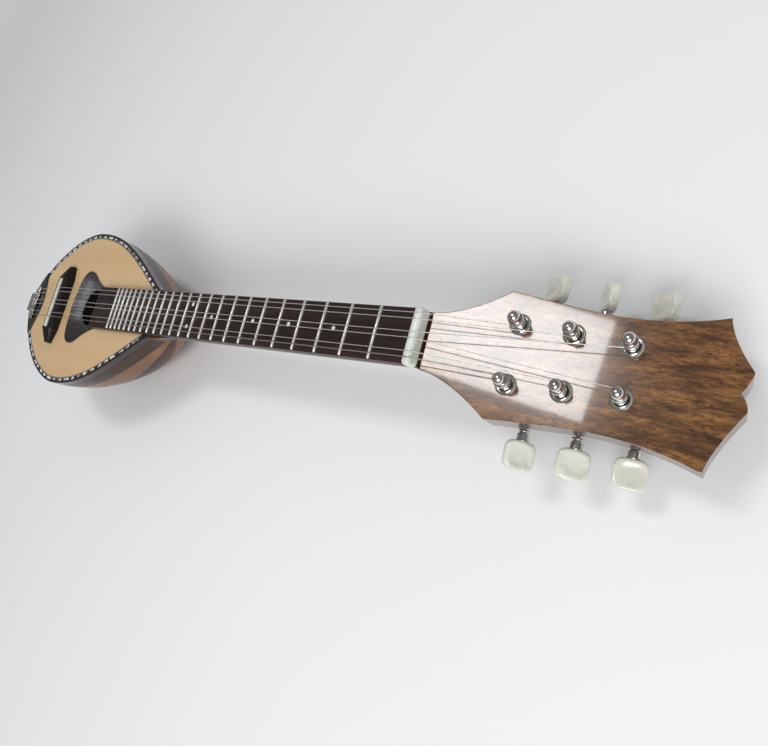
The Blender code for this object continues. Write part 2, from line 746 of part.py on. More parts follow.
def make_brace(name, x):
    half = 0.5 * BRACE_WIDTH
    reach = min(half_at_depth(x + step, BRACE_HEIGHT) for step in (-BRACE_WIDTH, BRACE_WIDTH))
    reach -= BRACE_END_INSET
    top = TOP_Z - SOUNDBOARD_THICKNESS - GAP
    rings = []
    for share in (-1.0, -BRACE_FULL_SHARE, BRACE_FULL_SHARE, 1.0):
        height = BRACE_HEIGHT if abs(share) < 1.0 else BRACE_END_HEIGHT
        corners = ((x - half, top), (x + half, top), (x + half, top - height), (x - half, top - height))
        rings.append([Vector((cx, reach * share, cz)) for cx, cz in corners])
    part(from_faces(name, *loft(rings)), SPRUCE)


def head_half(s):
    # Half width of the headstock up to its pointed corners
    if s <= SHOULDER_S:
        return HEAD_NUT_HALF + (SHOULDER_HALF - HEAD_NUT_HALF) * (max(s, 0.0) / SHOULDER_S) ** SHOULDER_POWER
    if s <= WAIST_S:
        u = (s - SHOULDER_S) / (WAIST_S - SHOULDER_S)
        return WAIST_HALF + (SHOULDER_HALF - WAIST_HALF) * (1.0 - u) ** WAIST_POWER
    v = (s - WAIST_S) / (CORNER_S - WAIST_S)
    return WAIST_HALF + (CORNER_HALF - WAIST_HALF) * v ** CORNER_POWER


def head_lean(s):
    # How far the hand-cut outline stands towards the near side
    if s <= CORNER_S:
        return CORNER_LEAN * s / CORNER_S
    return CORNER_LEAN * max(0.0, (LOBE_S - s) / (LOBE_S - CORNER_S))


def head_loop(start):
    # Whole outline of the headstock from its nut end, leaning a little to the near side
    return [(s, y - head_lean(s)) for s, y in mirrored(head_outline(start))]


def head_outline(start):
    # Far half of the headstock's outline, from the nut end to the notch in the tip
    half = []
    stops = (start, SHOULDER_S, WAIST_S, CORNER_S)
    for low, high, count in zip(stops, stops[1:], (6, 5, 6)):
        for i in range(count):
            s = low + (high - low) * i / count
            half.append((s, head_half(s)))
    for i in range(5):
        w = i / 5.0
        s = CORNER_S + (LOBE_S - CORNER_S) * w ** COVE_POWER
        half.append((s, CORNER_HALF + (LOBE_Y - CORNER_HALF) * w))
    for i in range(4):
        y = LOBE_Y * (1.0 - i / 3.0)
        half.append((NOTCH_S + (LOBE_S - NOTCH_S) * math.sin(0.5 * math.pi * y / LOBE_Y), y))
    return half


def post_places():
    # Number, side, place along and across the headstock for each tuner
    places = []
    for row in range(3):
        places.append((row + 1, 1.0, POST_FIRST_S + row * POST_PITCH, POST_FIRST_Y - row * POST_Y_STEP))
    for row in range(3):
        places.append((row + 4, -1.0, POST_FIRST_S + row * POST_PITCH, -(POST_FIRST_Y - row * POST_Y_STEP)))
    return places


def round_section(half, top, low):
    ring = []
    for j in range(NECK_SECTION_POINTS + 1):
        angle = math.pi * j / NECK_SECTION_POINTS
        wide = abs(math.cos(angle)) / half
        deep = math.sin(angle) / (top - low)
        r = (wide ** NECK_ROUNDNESS + deep ** NECK_ROUNDNESS) ** (-1.0 / NECK_ROUNDNESS)
        ring.append((r * math.cos(angle), top - r * math.sin(angle)))
    return ring


def square_section(half, top, low):
    sides = 2
    across = NECK_SECTION_POINTS - 2 * sides
    ring = [(half, top + (low - top) * j / sides) for j in range(sides)]
    ring += [(half - 2.0 * half * j / across, low) for j in range(across + 1)]
    ring += [(-half, low + (top - low) * j / sides) for j in range(1, sides + 1)]
    return ring


def make_neck():
    rings = []
    front = BODY_FRONT_X + GAP
    nut_end = NUT_LENGTH + 2.0 * GAP
    offsets = [share * HEEL_BLEND_LENGTH for share in (0.0, 0.0882, 0.2353, 0.4118, 0.6471, 1.0)]
    offsets += [share * -front for share in (0.3541, 0.6640, 0.9075)]
    for x in [front + o for o in offsets]:
        blend = max(0.0, 1.0 - (x - front) / HEEL_BLEND_LENGTH)
        blend = blend * blend * (3.0 - 2.0 * blend)
        depth = NECK_DEPTH_NUT + (NECK_DEPTH_BODY - NECK_DEPTH_NUT) * (x / front)
        half = board_half(x) + (JOINT_HALF_WIDTH - board_half(x)) * blend
        depth = depth + (JOINT_DEPTH - depth) * blend
        rings.append([Vector((x, y, z)) for y, z in round_section(half, TOP_Z, TOP_Z - depth)])
    lean = math.tan(HEAD_TILT)
    ring = round_section(board_half(0.0), TOP_Z, TOP_Z - NECK_DEPTH_NUT)
    rings.append([Vector((nut_end + (z - TOP_Z) * lean, y, z)) for y, z in ring])
    core_top = -(VENEER_THICKNESS + GAP)
    core_low = -HEAD_THICKNESS
    start_s = VENEER_START_S - GAP
    for s, share in ((start_s, 0.0), (0.5 * (start_s + CORE_BLEND_S), 0.5), (CORE_BLEND_S, 1.0)):
        soft = round_section(head_half(s), core_top, core_low)
        hard = square_section(head_half(s), core_top, core_low)
        mix = [(a[0] + (b[0] - a[0]) * share, a[1] + (b[1] - a[1]) * share) for a, b in zip(soft, hard)]
        rings.append([on_head(s, y - head_lean(s), off) for y, off in mix])
    verts, faces = loft(rings)
    count = NECK_SECTION_POINTS + 1
    faces = [f for f in faces if not (len(f) == count and min(f) > 0)]
    last = (len(rings) - 1) * count
    loop = head_loop(CORE_BLEND_S)[1:-1]
    tops = []
    lows = []
    for s, y in loop:
        verts += [on_head(s, y, core_top), on_head(s, y, core_low)]
        tops.append(len(verts) - 2)
        lows.append(len(verts) - 1)
    far_top, far_low = last, last + 2
    near_top, near_low = last + count - 1, last + count - 3
    faces.append(tuple([far_top] + tops + [near_top]))
    faces.append(tuple(lows + [last + j for j in range(count - 3, 1, -1)]))
    for a, b in zip(range(len(loop) - 1), range(1, len(loop))):
        faces.append((tops[a], tops[b], lows[b], lows[a]))
    faces.append((far_top, tops[0], lows[0], far_low, far_top + 1))
    faces.append((near_top, near_top - 1, near_low, lows[-1], tops[-1]))
    neck = part(from_faces("neck", verts, faces), NECK_WOOD)
    places = [(s, y, 0.0) for _, _, s, y in post_places()]
    holes = rods("post_holes_cut", places, POST_HOLE_RADIUS, 4.0 * HEAD_THICKNESS, ROUND_SIDES)
    set_on_head(tool(holes))
    combine(neck, holes, "DIFFERENCE")
    veneer = flat_outline("headstock_veneer", head_loop(VENEER_START_S), -VENEER_THICKNESS, 0.0)
    set_on_head(part(veneer, DARK_WOOD))
    combine(veneer, holes, "DIFFERENCE")


def fret_x(number):
    return -SCALE_LENGTH * (1.0 - 2.0 ** (-number / 12.0))


def make_fingerboard():
    rings = []
    for x in (0.0, BOARD_END_X):
        half = board_half(x)
        corners = ((-half, BOARD_FOOT_Z), (half, BOARD_FOOT_Z), (half, 0.0), (-half, 0.0))
        rings.append([Vector((x, y, z)) for y, z in corners])
    board = part(from_faces("fingerboard", *loft(rings)), BOARD_WOOD)
    solids = []
    for number in range(1, FRET_COUNT + 1):
        x = fret_x(number)
        half = board_half(x) - FRET_END_INSET
        rings = []
        for y in (-half, half):
            ring = []
            for dx, z in ((-0.5, -FRET_SET_IN), (0.5, -FRET_SET_IN), (0.5, 0.3 * FRET_HEIGHT),
                          (0.25, FRET_HEIGHT), (-0.25, FRET_HEIGHT), (-0.5, 0.3 * FRET_HEIGHT)):
                ring.append(Vector((x + dx * FRET_WIDTH, y, z)))
            rings.append(ring)
        solids.append(loft(rings))
    combine(board, tool(from_faces("frets_add", *join_solids(solids))), "UNION")


def make_nut():
    start = GAP
    end = GAP + NUT_LENGTH
    profile = (
        (start, BOARD_FOOT_Z),
        (end, BOARD_FOOT_Z),
        (end, NUT_TOP_Z - NUT_BACK_FALL),
        (end - NUT_BACK_RUN, NUT_TOP_Z - 0.5 * NUT_EDGE),
        (0.5 * (start + end), NUT_TOP_Z),
        (start, NUT_TOP_Z - 0.2 * NUT_EDGE),
    )
    part(across("nut", profile, board_half(0.0) - NUT_END_INSET), BONE)


def make_bridge():
    edge = 0.36
    shape = ((-0.5, 0.0), (0.5, 0.0), (0.5, 0.6), (edge, 1.0), (-edge, 1.0), (-0.5, 0.6))
    rings = []
    for y, width, height in ((-BRIDGE_HALF_LENGTH, BRIDGE_END_WIDTH, BRIDGE_END_HEIGHT),
                             (-BRIDGE_SHOULDER_Y, BRIDGE_WIDTH, BRIDGE_HEIGHT),
                             (BRIDGE_SHOULDER_Y, BRIDGE_WIDTH, BRIDGE_HEIGHT),
                             (BRIDGE_HALF_LENGTH, BRIDGE_END_WIDTH, BRIDGE_END_HEIGHT)):
        rings.append([Vector((BRIDGE_X + u * width, y, BOARD_FOOT_Z + v * height)) for u, v in shape])
    bridge = part(from_faces("bridge", *loft(rings)), EBONY)
    slot_floor = BOARD_FOOT_Z + BRIDGE_HEIGHT - SADDLE_SLOT_DEPTH
    slot_half = 0.5 * SADDLE_WIDTH + GAP
    slot_end = SADDLE_HALF_LENGTH + GAP
    low = (SADDLE_X - slot_half, -slot_end, slot_floor)
    high = (SADDLE_X + slot_half, slot_end, slot_floor + BRIDGE_HEIGHT)
    combine(bridge, tool(cubes("saddle_slot_cut", ((low, high),))), "DIFFERENCE")
    half = 0.5 * SADDLE_WIDTH
    low = slot_floor + GAP
    profile = (
        (-half, low),
        (half, low),
        (half, SADDLE_TOP_Z - SADDLE_EDGE),
        (0.3 * half, SADDLE_TOP_Z),
        (-0.3 * half, SADDLE_TOP_Z),
        (-half, SADDLE_TOP_Z - SADDLE_EDGE),
    )
    saddle = part(across("saddle", profile, SADDLE_HALF_LENGTH), BONE)
    saddle.location.x = SADDLE_X


def string_side(number):
    # Course and place in the pair: strings 1 and 2 are the far course, 5 and 6 the near one
    course = {1: 1.0, 2: 1.0, 3: 0.0, 4: 0.0, 5: -1.0, 6: -1.0}[number]
    place_in_pair = {1: 1.0, 2: -1.0, 3: 1.0, 4: -1.0, 5: 1.0, 6: -1.0}[number]
    return course, place_in_pair


def string_y(number, course_spread, pair_spread):
    course, place_in_pair = string_side(number)
    return course * course_spread + place_in_pair * pair_spread


def make_tail_guard():
    corner_x = BODY_TAIL_X + TAIL_GUARD_CORNER_RUN
    front_x = BODY_TAIL_X + TAIL_GUARD_RUN
    line = [p for p in level_loop(0.0, TAIL_GUARD_EDGE_INSET) if p.x < corner_x]
    start = line[0]
    bulge = []
    for i in range(1, TAIL_GUARD_STEPS):
        t = -1.0 + 2.0 * i / TAIL_GUARD_STEPS
        bulge.append((front_x + (start.x - front_x) * abs(t) ** 1.5, start.y * t))
    part(flat_outline("tail_guard", line + bulge, BOARD_FOOT_Z, TAIL_GUARD_TOP_Z), EBONY)


def make_tailpiece():
    top = TAILPIECE_TOP_Z
    low = top - TAILPIECE_THICKNESS
    inner = BODY_TAIL_X - TAILPIECE_STAND_OFF
    outer = inner - TAILPIECE_THICKNESS
    foot = TOP_Z - TAILPIECE_DROP
    bar_back = TAILPIECE_FRONT_X - TAILPIECE_BAR_LENGTH
    leaf_front = bar_back + 0.25 * TAILPIECE_BAR_LENGTH
    profile = (
        (leaf_front, low),
        (inner, low),
        (inner, foot),
        (outer, foot),
        (outer, low - 0.5 * TAILPIECE_BEND),
        (outer + TAILPIECE_BEND, top),
        (leaf_front, top),
    )
    tailpiece = part(across("tailpiece", profile, TAILPIECE_LEAF_HALF_WIDTH), NICKEL)
    span = ((bar_back, -TAILPIECE_BAR_HALF_WIDTH, low - TAILPIECE_LIP),
            (TAILPIECE_FRONT_X, TAILPIECE_BAR_HALF_WIDTH, top + TAILPIECE_RIDGE))
    combine(tailpiece, tool(cubes("tail_bar_add", (span,))), "UNION")
    pin_length = TAIL_PIN_HEIGHT + 0.5 * TAILPIECE_THICKNESS
    pin_middle = top + TAIL_PIN_HEIGHT - 0.5 * pin_length
    places = []
    for number in range(1, STRING_COUNT + 1):
        y = string_y(number, COURSE_AT_TAIL, PAIR_AT_TAIL)
        places.append((0.5 * (TAILPIECE_FRONT_X + bar_back), y, pin_middle))
    combine(tailpiece, tool(rods("tail_pins_add", places, TAIL_PIN_RADIUS, pin_length, 8)), "UNION")


def string_path(number):
    # Pin, saddle, nut, then the turns round the post
    radius = STRING_RADII[number]
    pin_front = TAILPIECE_FRONT_X - 0.5 * TAILPIECE_BAR_LENGTH + TAIL_PIN_RADIUS + GAP
    rest = GAP + radius
    points = []
    for x, course, pair, z in (
        (pin_front, COURSE_AT_TAIL, PAIR_AT_TAIL, TAILPIECE_TOP_Z + STRING_ON_PIN),
        (SADDLE_X, COURSE_AT_SADDLE, PAIR_AT_SADDLE, SADDLE_TOP_Z + rest),
        (0.5 * NUT_LENGTH + GAP, COURSE_AT_NUT, PAIR_AT_NUT, NUT_TOP_Z + rest),
    ):
        points.append(Vector((x, string_y(number, course, pair), z)))
    tuner = {1: 1, 2: 2, 3: 3, 4: 6, 5: 5, 6: 4}[number]
    _, side, s, y = post_places()[tuner - 1]
    wind = POST_WAIST_RADIUS + GAP + radius
    pitch = 2.0 * radius + WINDING_SPARE
    steps = WINDING_LOOPS * WINDING_POINTS
    for i in range(steps + 1):
        a = -0.5 * math.pi * side + side * 2.0 * math.pi * i / WINDING_POINTS
        off = POST_WINDING_TOP - WINDING_START - pitch * i / WINDING_POINTS
        points.append(on_head(s + wind * math.cos(a), y + wind * math.sin(a), off))
    return points, radius


def least_gap(points, radius):
    # Smallest space between the turns of one string, measured on the points of its line
    turns = points[3:]
    away = WINDING_POINTS // 2
    least = 1.0
    for i in range(len(turns)):
        for j in range(i + away, len(turns)):
            least = min(least, (turns[i] - turns[j]).length - 2.0 * radius)
    return least


def make_string(number):
    points, radius = string_path(number)
    name = "string_" + str(number)
    curve = poly_curve(name, points, "3D", False)
    curve.bevel_depth = radius
    curve.bevel_resolution = 1
    curve.use_fill_caps = True
    part(mesh_from_curve(name, curve), STEEL, smooth=True)
    print("string", number, "least gap to itself mm", round(least_gap(points, radius) / MM, 3))


def make_post(number, s, y):
    gear_low = WORM_AXIS_OFF - 0.5 * GEAR_THICKNESS
    gear_high = gear_low + GEAR_THICKNESS
    collar = POST_WINDING_TOP + POST_COLLAR_SLOPE
    neck_top = collar + POST_COLLAR_HEIGHT + POST_COLLAR_SLOPE
    profile = (
        (0.0, POST_KNOB_HEIGHT + POST_KNOB_RADIUS),
        (0.7 * POST_KNOB_RADIUS, POST_KNOB_HEIGHT + 0.7 * POST_KNOB_RADIUS),
        (POST_KNOB_RADIUS, POST_KNOB_HEIGHT),
        (0.8 * POST_KNOB_RADIUS, POST_KNOB_HEIGHT - 0.6 * POST_KNOB_RADIUS),
        (POST_NECK_RADIUS, neck_top),
        (POST_COLLAR_RADIUS, neck_top - POST_COLLAR_SLOPE),
        (POST_COLLAR_RADIUS, collar),
        (POST_WAIST_RADIUS, POST_WINDING_TOP),
        (POST_WAIST_RADIUS, POST_WINDING_FOOT),
        (POST_RADIUS, POST_WINDING_FOOT - POST_COLLAR_SLOPE),
        (POST_RADIUS, gear_high + POST_FOOT_SLOPE),
        (POST_FOOT_RADIUS, gear_low + POST_FOOT_SLOPE),
        (0.8 * POST_FOOT_RADIUS, gear_low - POST_FOOT_DROP),
        (0.0, gear_low - POST_FOOT_DROP),
    )
    post = set_on_head(part(turned("post_" + str(number), profile), NICKEL), s, y)
    root = GEAR_PITCH_RADIUS - GEAR_TOOTH_DOWN
    tip = GEAR_PITCH_RADIUS + GEAR_TOOTH_UP
    tooth = ((root, -GEAR_TOOTH_BASE), (tip, -GEAR_TOOTH_TIP), (tip, GEAR_TOOTH_TIP), (root, GEAR_TOOTH_BASE))
    loop = []
    for k in range(GEAR_TEETH):
        middle = 2.0 * math.pi * (k + 0.5) / GEAR_TEETH
        for radius, width in tooth:
            a = middle + 0.5 * width / radius
            loop.append((radius * math.cos(a), radius * math.sin(a)))
    gear = tool(flat_outline("gear_" + str(number) + "_add", loop, gear_low, gear_high))
    combine(post, set_on_head(gear, s, y), "UNION")


def make_bushing(number, s, y):
    profile = (
        (BUSHING_BORE_RADIUS, BUSHING_FLANGE_HEIGHT),
        (0.9 * BUSHING_FLANGE_RADIUS, BUSHING_FLANGE_HEIGHT),
        (BUSHING_FLANGE_RADIUS, 0.6 * BUSHING_FLANGE_HEIGHT),
        (BUSHING_FLANGE_RADIUS, GAP),
        (BUSHING_RADIUS, GAP),
        (BUSHING_RADIUS, -BUSHING_DEPTH),
        (BUSHING_BORE_RADIUS, -BUSHING_DEPTH),
    )
    set_on_head(part(turned("bushing_" + str(number), profile, closed=True), NICKEL), s, y)


def worm_point(side, reach, radius, angle):
    # Point about the worm's axis; angle 0 points to the gear and reach runs outwards to the button
    return Vector((-math.cos(angle) * radius, side * reach, side * math.sin(angle) * radius))


def set_on_worm(obj, s, y):
    return set_on_head(obj, s + WORM_OFFSET_S, y, WORM_AXIS_OFF)


def make_worm(number, side, s, y):
    # The thread is one sheared grid: each row of four per turn climbs one pitch in a turn
    heights = (0.0, 1.0, 1.0, 0.0)
    places = (-0.5 * WORM_BASE, -0.5 * WORM_CREST, 0.5 * WORM_CREST, 0.5 * WORM_BASE)
    per_turn = len(places)
    crest = WORM_PITCH_RADIUS + WORM_TOOTH_UP
    rows = per_turn * (WORM_TURNS + 1)
    n = WORM_SIDES
    verts = []
    for i in range(rows + 1):
        turn, kind = divmod(i, per_turn)
        for j in range(n):
            share = j / n
            reach = places[kind] + GEAR_PITCH * (turn + share - 0.5 * (WORM_TURNS + 1))
            along = i / per_turn + share
            grow = min(1.0, max(0.0, min(along - 1.0, WORM_TURNS + 0.9 - along) * 3.0))
            radius = WORM_ROOT_RADIUS + (crest - WORM_ROOT_RADIUS) * heights[kind] * grow
            verts.append(worm_point(side, reach, radius, 2.0 * math.pi * share))
    faces = []
    for i in range(rows):
        for j in range(n - 1):
            faces.append((i * n + j, i * n + j + 1, (i + 1) * n + j + 1, (i + 1) * n + j))
    for i in range(rows - per_turn):
        faces.append((i * n + n - 1, (i + per_turn) * n, (i + per_turn + 1) * n, (i + 1) * n + n - 1))
    start = [j for j in range(n)] + [k * n for k in range(per_turn, 0, -1)]
    end = [rows * n + j for j in range(n)] + [(rows - k) * n + n - 1 for k in range(1, per_turn + 1)]
    for loop in (start, end):
        middle = sum((verts[k] for k in loop), Vector()) / len(loop)
        verts.append(Vector((0.0, middle.y, 0.0)))
        tip = len(verts) - 1
        faces += [(a, b, tip) for a, b in zip(loop, loop[1:] + loop[:1])]
    worm = set_on_worm(part(from_faces("worm_" + str(number), verts, faces), NICKEL), s, y)
    inner_end = -(EAR_INNER + EAR_THICKNESS + WORM_SHAFT_SPARE)
    outer_end = BUTTON_START + BUTTON_BORE_DEPTH - WORM_SHAFT_SPARE
    middle = (0.0, side * 0.5 * (inner_end + outer_end), 0.0)
    shaft_length = outer_end - inner_end
    name = "worm_shaft_" + str(number) + "_add"
    shaft = tool(rods(name, (middle,), WORM_SHAFT_RADIUS, shaft_length, ROUND_SIDES, axis="Y"))
    combine(worm, set_on_worm(shaft, s, y), "UNION")


def make_button(number, side, s, y):
    bore = WORM_HOLE_RADIUS
    stem_end = BUTTON_START + BUTTON_STEM_LENGTH
    wide = BUTTON_HALF_WIDTH
    thin = BUTTON_HALF_THICKNESS
    shape = [
        (BUTTON_START + BUTTON_BORE_DEPTH, bore, bore),
        (BUTTON_START, bore, bore),
        (BUTTON_START, BUTTON_STEM_RADIUS, BUTTON_STEM_RADIUS),
        (stem_end - 0.0008, BUTTON_STEM_RADIUS, 0.95 * BUTTON_STEM_RADIUS),
        (stem_end, 0.55 * wide, 0.95 * thin),
    ]
    for share, w, t in BUTTON_FORM:
        shape.append((stem_end + BUTTON_LENGTH * share, w * wide, t * thin))
    turn = math.radians(BUTTON_TURNS[number])
    rings = []
    for reach, a_size, b_size in shape:
        ring = []
        for k in range(BUTTON_SIDES):
            a = 2.0 * math.pi * k / BUTTON_SIDES
            u = a_size * math.cos(a)
            v = b_size * math.sin(a)
            along = u * math.cos(turn) - v * math.sin(turn)
            lift = u * math.sin(turn) + v * math.cos(turn)
            ring.append(Vector((along, side * reach, lift)))
        rings.append(ring)
    bore_end = Vector((0.0, side * (BUTTON_START + BUTTON_BORE_DEPTH), 0.0))
    tip = Vector((0.0, side * (stem_end + BUTTON_LENGTH), 0.0))
    button = from_faces("button_" + str(number), *loft(rings, bore_end, tip))
    set_on_worm(part(button, PEARL, smooth=True), s, y)


def make_plate(name, side):
    def span(s_low, s_high, y_low, y_high, off_low, off_high):
        ends = sorted((side * y_low, side * y_high))
        return (s_low, ends[0], off_low), (s_high, ends[1], off_high)

    sheet = span(PLATE_START_S, PLATE_END_S, PLATE_INNER_Y, PLATE_OUTER_Y, PLATE_BOTTOM_OFF, PLATE_TOP_OFF)
    plate = set_on_head(part(cubes(name, (sheet,)), NICKEL))
    root = PLATE_BOTTOM_OFF + 0.5 * PLATE_THICKNESS
    screw_off = root - 0.5 * SCREW_HEIGHT
    screw_length = SCREW_HEIGHT + PLATE_THICKNESS
    tuners = [(s, y) for _, this_side, s, y in post_places() if this_side == side]
    ears = []
    for s, y in tuners:
        s_worm = s + WORM_OFFSET_S
        for start in (EAR_INNER, -(EAR_INNER + EAR_THICKNESS)):
            near = side * y + start
            ears.append(span(s_worm - EAR_HALF_WIDTH, s_worm + EAR_HALF_WIDTH, near, near + EAR_THICKNESS,
                             WORM_AXIS_OFF - EAR_REACH, root))
    screws = [(s + SCREW_AFTER_POST, y, screw_off) for s, y in tuners]
    screws.append((tuners[0][0] - SCREW_BEFORE_POST, tuners[0][1], screw_off))
    posts = [(s, y, PLATE_BOTTOM_OFF) for s, y in tuners]
    shafts = [(s + WORM_OFFSET_S, y, WORM_AXIS_OFF) for s, y in tuners]
    shaft_length = 2.0 * (EAR_INNER + 2.0 * EAR_THICKNESS)
    tag = name.replace("tuner_plate", "plate")
    through = 4.0 * PLATE_THICKNESS
    added = [cubes(tag + "_ears_add", ears)]
    added.append(rods(tag + "_screws_add", screws, SCREW_HEAD_RADIUS, screw_length, ROUND_SIDES, SCREW_RADIUS))
    cut = [rods(tag + "_post_holes_cut", posts, BUSHING_BORE_RADIUS, through, ROUND_SIDES)]
    cut.append(rods(tag + "_shaft_holes_cut", shafts, WORM_HOLE_RADIUS, shaft_length, ROUND_SIDES, axis="Y"))
    for shape in added:
        combine(plate, set_on_head(tool(shape)), "UNION")
    for shape in cut:
        combine(plate, set_on_head(tool(shape)), "DIFFERENCE")


def centre_everything():
    # Moves all pieces so the origin is the middle of the bounding box's foot
    bpy.context.view_layer.update()
    graph = bpy.context.evaluated_depsgraph_get()
    low = Vector((1.0, 1.0, 1.0))
    high = Vector((-1.0, -1.0, -1.0))
    for obj in PARTS.objects:
        shape = obj.evaluated_get(graph)
        mesh = shape.to_mesh()
        for vert in mesh.vertices:
            p = obj.matrix_world @ vert.co
            for n in range(3):
                low[n] = min(low[n], p[n])
                high[n] = max(high[n], p[n])
        shape.to_mesh_clear()
    shift = Vector((-0.5 * (low.x + high.x), 0.0, -low.z))
    for obj in list(PARTS.objects) + list(CUTTERS.objects):
        obj.location = obj.location + shift
    print("size mm", [round(v / MM, 2) for v in high - low], "y middle mm", round(0.5 * (low.y + high.y) / MM, 3))
    print("shift", [round(v, 7) for v in shift])
    for number, side, s, y in post_places():
        post = on_head(s, y, 0.0) + shift
        worm = on_head(s + WORM_OFFSET_S, y, WORM_AXIS_OFF) + shift
        print("tuner", number, "post", [round(v, 7) for v in post], "worm", [round(v, 7) for v in worm])
    up = on_head(0.0, 0.0, 1.0) - on_head(0.0, 0.0, 0.0)
    print("post axis", [round(v, 9) for v in up])


make_edge_work()
make_soundboard()
make_pickguard()
make_ribs()
make_blocks()
make_brace("brace_front", BRACE_FRONT_X)
make_brace("brace_rear", BRACE_REAR_X)
make_neck()
make_fingerboard()
make_nut()
make_bridge()
make_tail_guard()
make_tailpiece()
for string_number in range(1, STRING_COUNT + 1):
    make_string(string_number)
for tuner_number, tuner_side, tuner_s, tuner_y in post_places():
    make_post(tuner_number, tuner_s, tuner_y)
    make_bushing(tuner_number, tuner_s, tuner_y)
    make_worm(tuner_number, tuner_side, tuner_s, tuner_y)
    make_button(tuner_number, tuner_side, tuner_s, tuner_y)
make_plate("tuner_plate_far", 1.0)
make_plate("tuner_plate_near", -1.0)
centre_everything()
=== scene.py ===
# Looks for the small three-course bowl-back lute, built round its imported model.
# Drawing frame: x = 0 at the nut, +x to the headstock tip, +y to the far side, z = 0 on the fingerboard.
import math
import random

import bmesh
import bpy
from mathutils import Euler, Matrix, Vector


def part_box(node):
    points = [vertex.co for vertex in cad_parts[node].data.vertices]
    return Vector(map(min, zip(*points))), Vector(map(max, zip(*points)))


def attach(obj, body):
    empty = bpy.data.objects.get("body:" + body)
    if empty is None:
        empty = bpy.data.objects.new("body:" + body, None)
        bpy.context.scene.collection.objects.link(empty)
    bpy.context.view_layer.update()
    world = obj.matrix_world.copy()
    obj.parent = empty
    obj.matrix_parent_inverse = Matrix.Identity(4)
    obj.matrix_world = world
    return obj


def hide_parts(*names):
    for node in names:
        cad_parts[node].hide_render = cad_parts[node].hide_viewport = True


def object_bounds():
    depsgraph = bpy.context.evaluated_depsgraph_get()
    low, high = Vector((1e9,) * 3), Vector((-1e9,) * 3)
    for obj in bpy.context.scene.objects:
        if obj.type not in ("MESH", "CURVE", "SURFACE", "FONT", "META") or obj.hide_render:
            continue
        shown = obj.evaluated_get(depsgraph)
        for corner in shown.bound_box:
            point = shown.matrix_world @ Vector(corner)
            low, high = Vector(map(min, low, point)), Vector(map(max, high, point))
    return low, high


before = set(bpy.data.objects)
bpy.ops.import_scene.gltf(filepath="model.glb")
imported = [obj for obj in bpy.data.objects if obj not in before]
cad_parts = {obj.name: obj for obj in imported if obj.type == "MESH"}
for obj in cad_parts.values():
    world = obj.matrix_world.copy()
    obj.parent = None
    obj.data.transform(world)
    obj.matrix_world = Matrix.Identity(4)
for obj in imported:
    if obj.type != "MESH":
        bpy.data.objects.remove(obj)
CAD_LOW, CAD_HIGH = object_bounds()

# Clearances, in metres, and the sides of a round hole
GAP = 0.0003
SEAM = 0.0001
TOUCH = 0.000001
WELD = 0.000002
HOLE_SIDES = 40

# Neck, fingerboard and frets
SCALE_LENGTH = 0.360
FRET_COUNT = 24
FRET_WIDTH = 0.0016
FRET_HEIGHT = 0.0009
FRET_INSET = 0.0003
BOARD_WIDTH_NUT = 0.0267
BOARD_WIDTH_SADDLE = 0.0317
BOARD_END_X = -0.2975
BOARD_FOOT_Z = -0.0050
BOARD_CHAMFER = 0.0003
FRET_ROOT_Z = -0.0004
DOT_RADIUS = 0.00135
DOT_THICKNESS = 0.0008
DOT_CROWN = 0.00004
DOT_EDGE = 0.0001
DOT_SPREAD = 0.0072
DOT_FRETS = (3, 5, 7, 10)
NECK_DEPTH_NUT = 0.0120
NECK_DEPTH_BODY = 0.0135
HEEL_BLEND_LENGTH = 0.034
NECK_ROUNDNESS = 2.25
NECK_NUT_BACK = 0.004

# Body
TOP_Z = -0.0053
BODY_FRONT_X = -0.2262
BODY_WIDEST_X = -0.338
BODY_TAIL_X = -0.418
BODY_HALF_WIDTH = 0.061
JOINT_HALF_WIDTH = 0.017
TAIL_ROUNDNESS = 1.70
FLANK_SWELL = 0.56
BOWL_DEEPEST_X = -0.335
BOWL_DEPTH = 0.065
JOINT_DEPTH = 0.024
TAIL_DEPTH_ROUNDNESS = 2.1
HEEL_ROUNDNESS = 3.2
BOWL_ROUNDNESS = 2.25
EDGE_STATIONS = 64
RIB_COUNT = 7
RIB_THICKNESS = 0.0018
RIB_TAIL_X = -0.412
RIB_STATIONS = 44
RIB_FACETS = 8
RIB_HALF_SEAM = 0.00006
RIB_EDGE_ROUND = 0.00012
SKIRT_DEPTH = 0.016
SKIRT_THICKNESS = 0.0020
BINDING_WIDTH = 0.0012
BINDING_DEPTH = 0.0050
BINDING_ROUND = 0.0006
# Depth of the line, inset and drop round the binding's corner, as shares of its rounding
BINDING_CURVE = ((1.0, 0.0, 1.0), (0.3, 0.12, 0.6), (0.0, 0.35, 0.2), (0.0, 1.0, 0.0))
PURFLING_START = 0.0015
PURFLING_END = 0.0045
PURFLING_DEPTH = 0.0015
PURFLING_BED_DROP = 0.00005
LINE_WIDTH = 0.00018
LINE_DEPTH = 0.0004
LINE_INSET = 0.0003
CHIP_LENGTHS = (0.0040, 0.0078)
CHIP_LEAN = 0.0012
CHIP_GAP = 0.0030
CHIP_INSET = 0.0008
CHIP_FIRST = 0.002
CHIP_LAST_ROOM = 0.008
CHIP_DEPTH = 0.0004
CHIP_PROUD = 0.00002
CHIP_EDGE = 0.00008
CHIP_DRAW = 7
SOUNDBOARD_THICKNESS = 0.0026
SOUNDHOLE_X = -0.3095
SOUNDHOLE_HALF_LENGTH = 0.0125
SOUNDHOLE_HALF_WIDTH = 0.0140

# Pickguard, bridge, saddle, nut and tail fittings
GUARD_THICKNESS = 0.0009
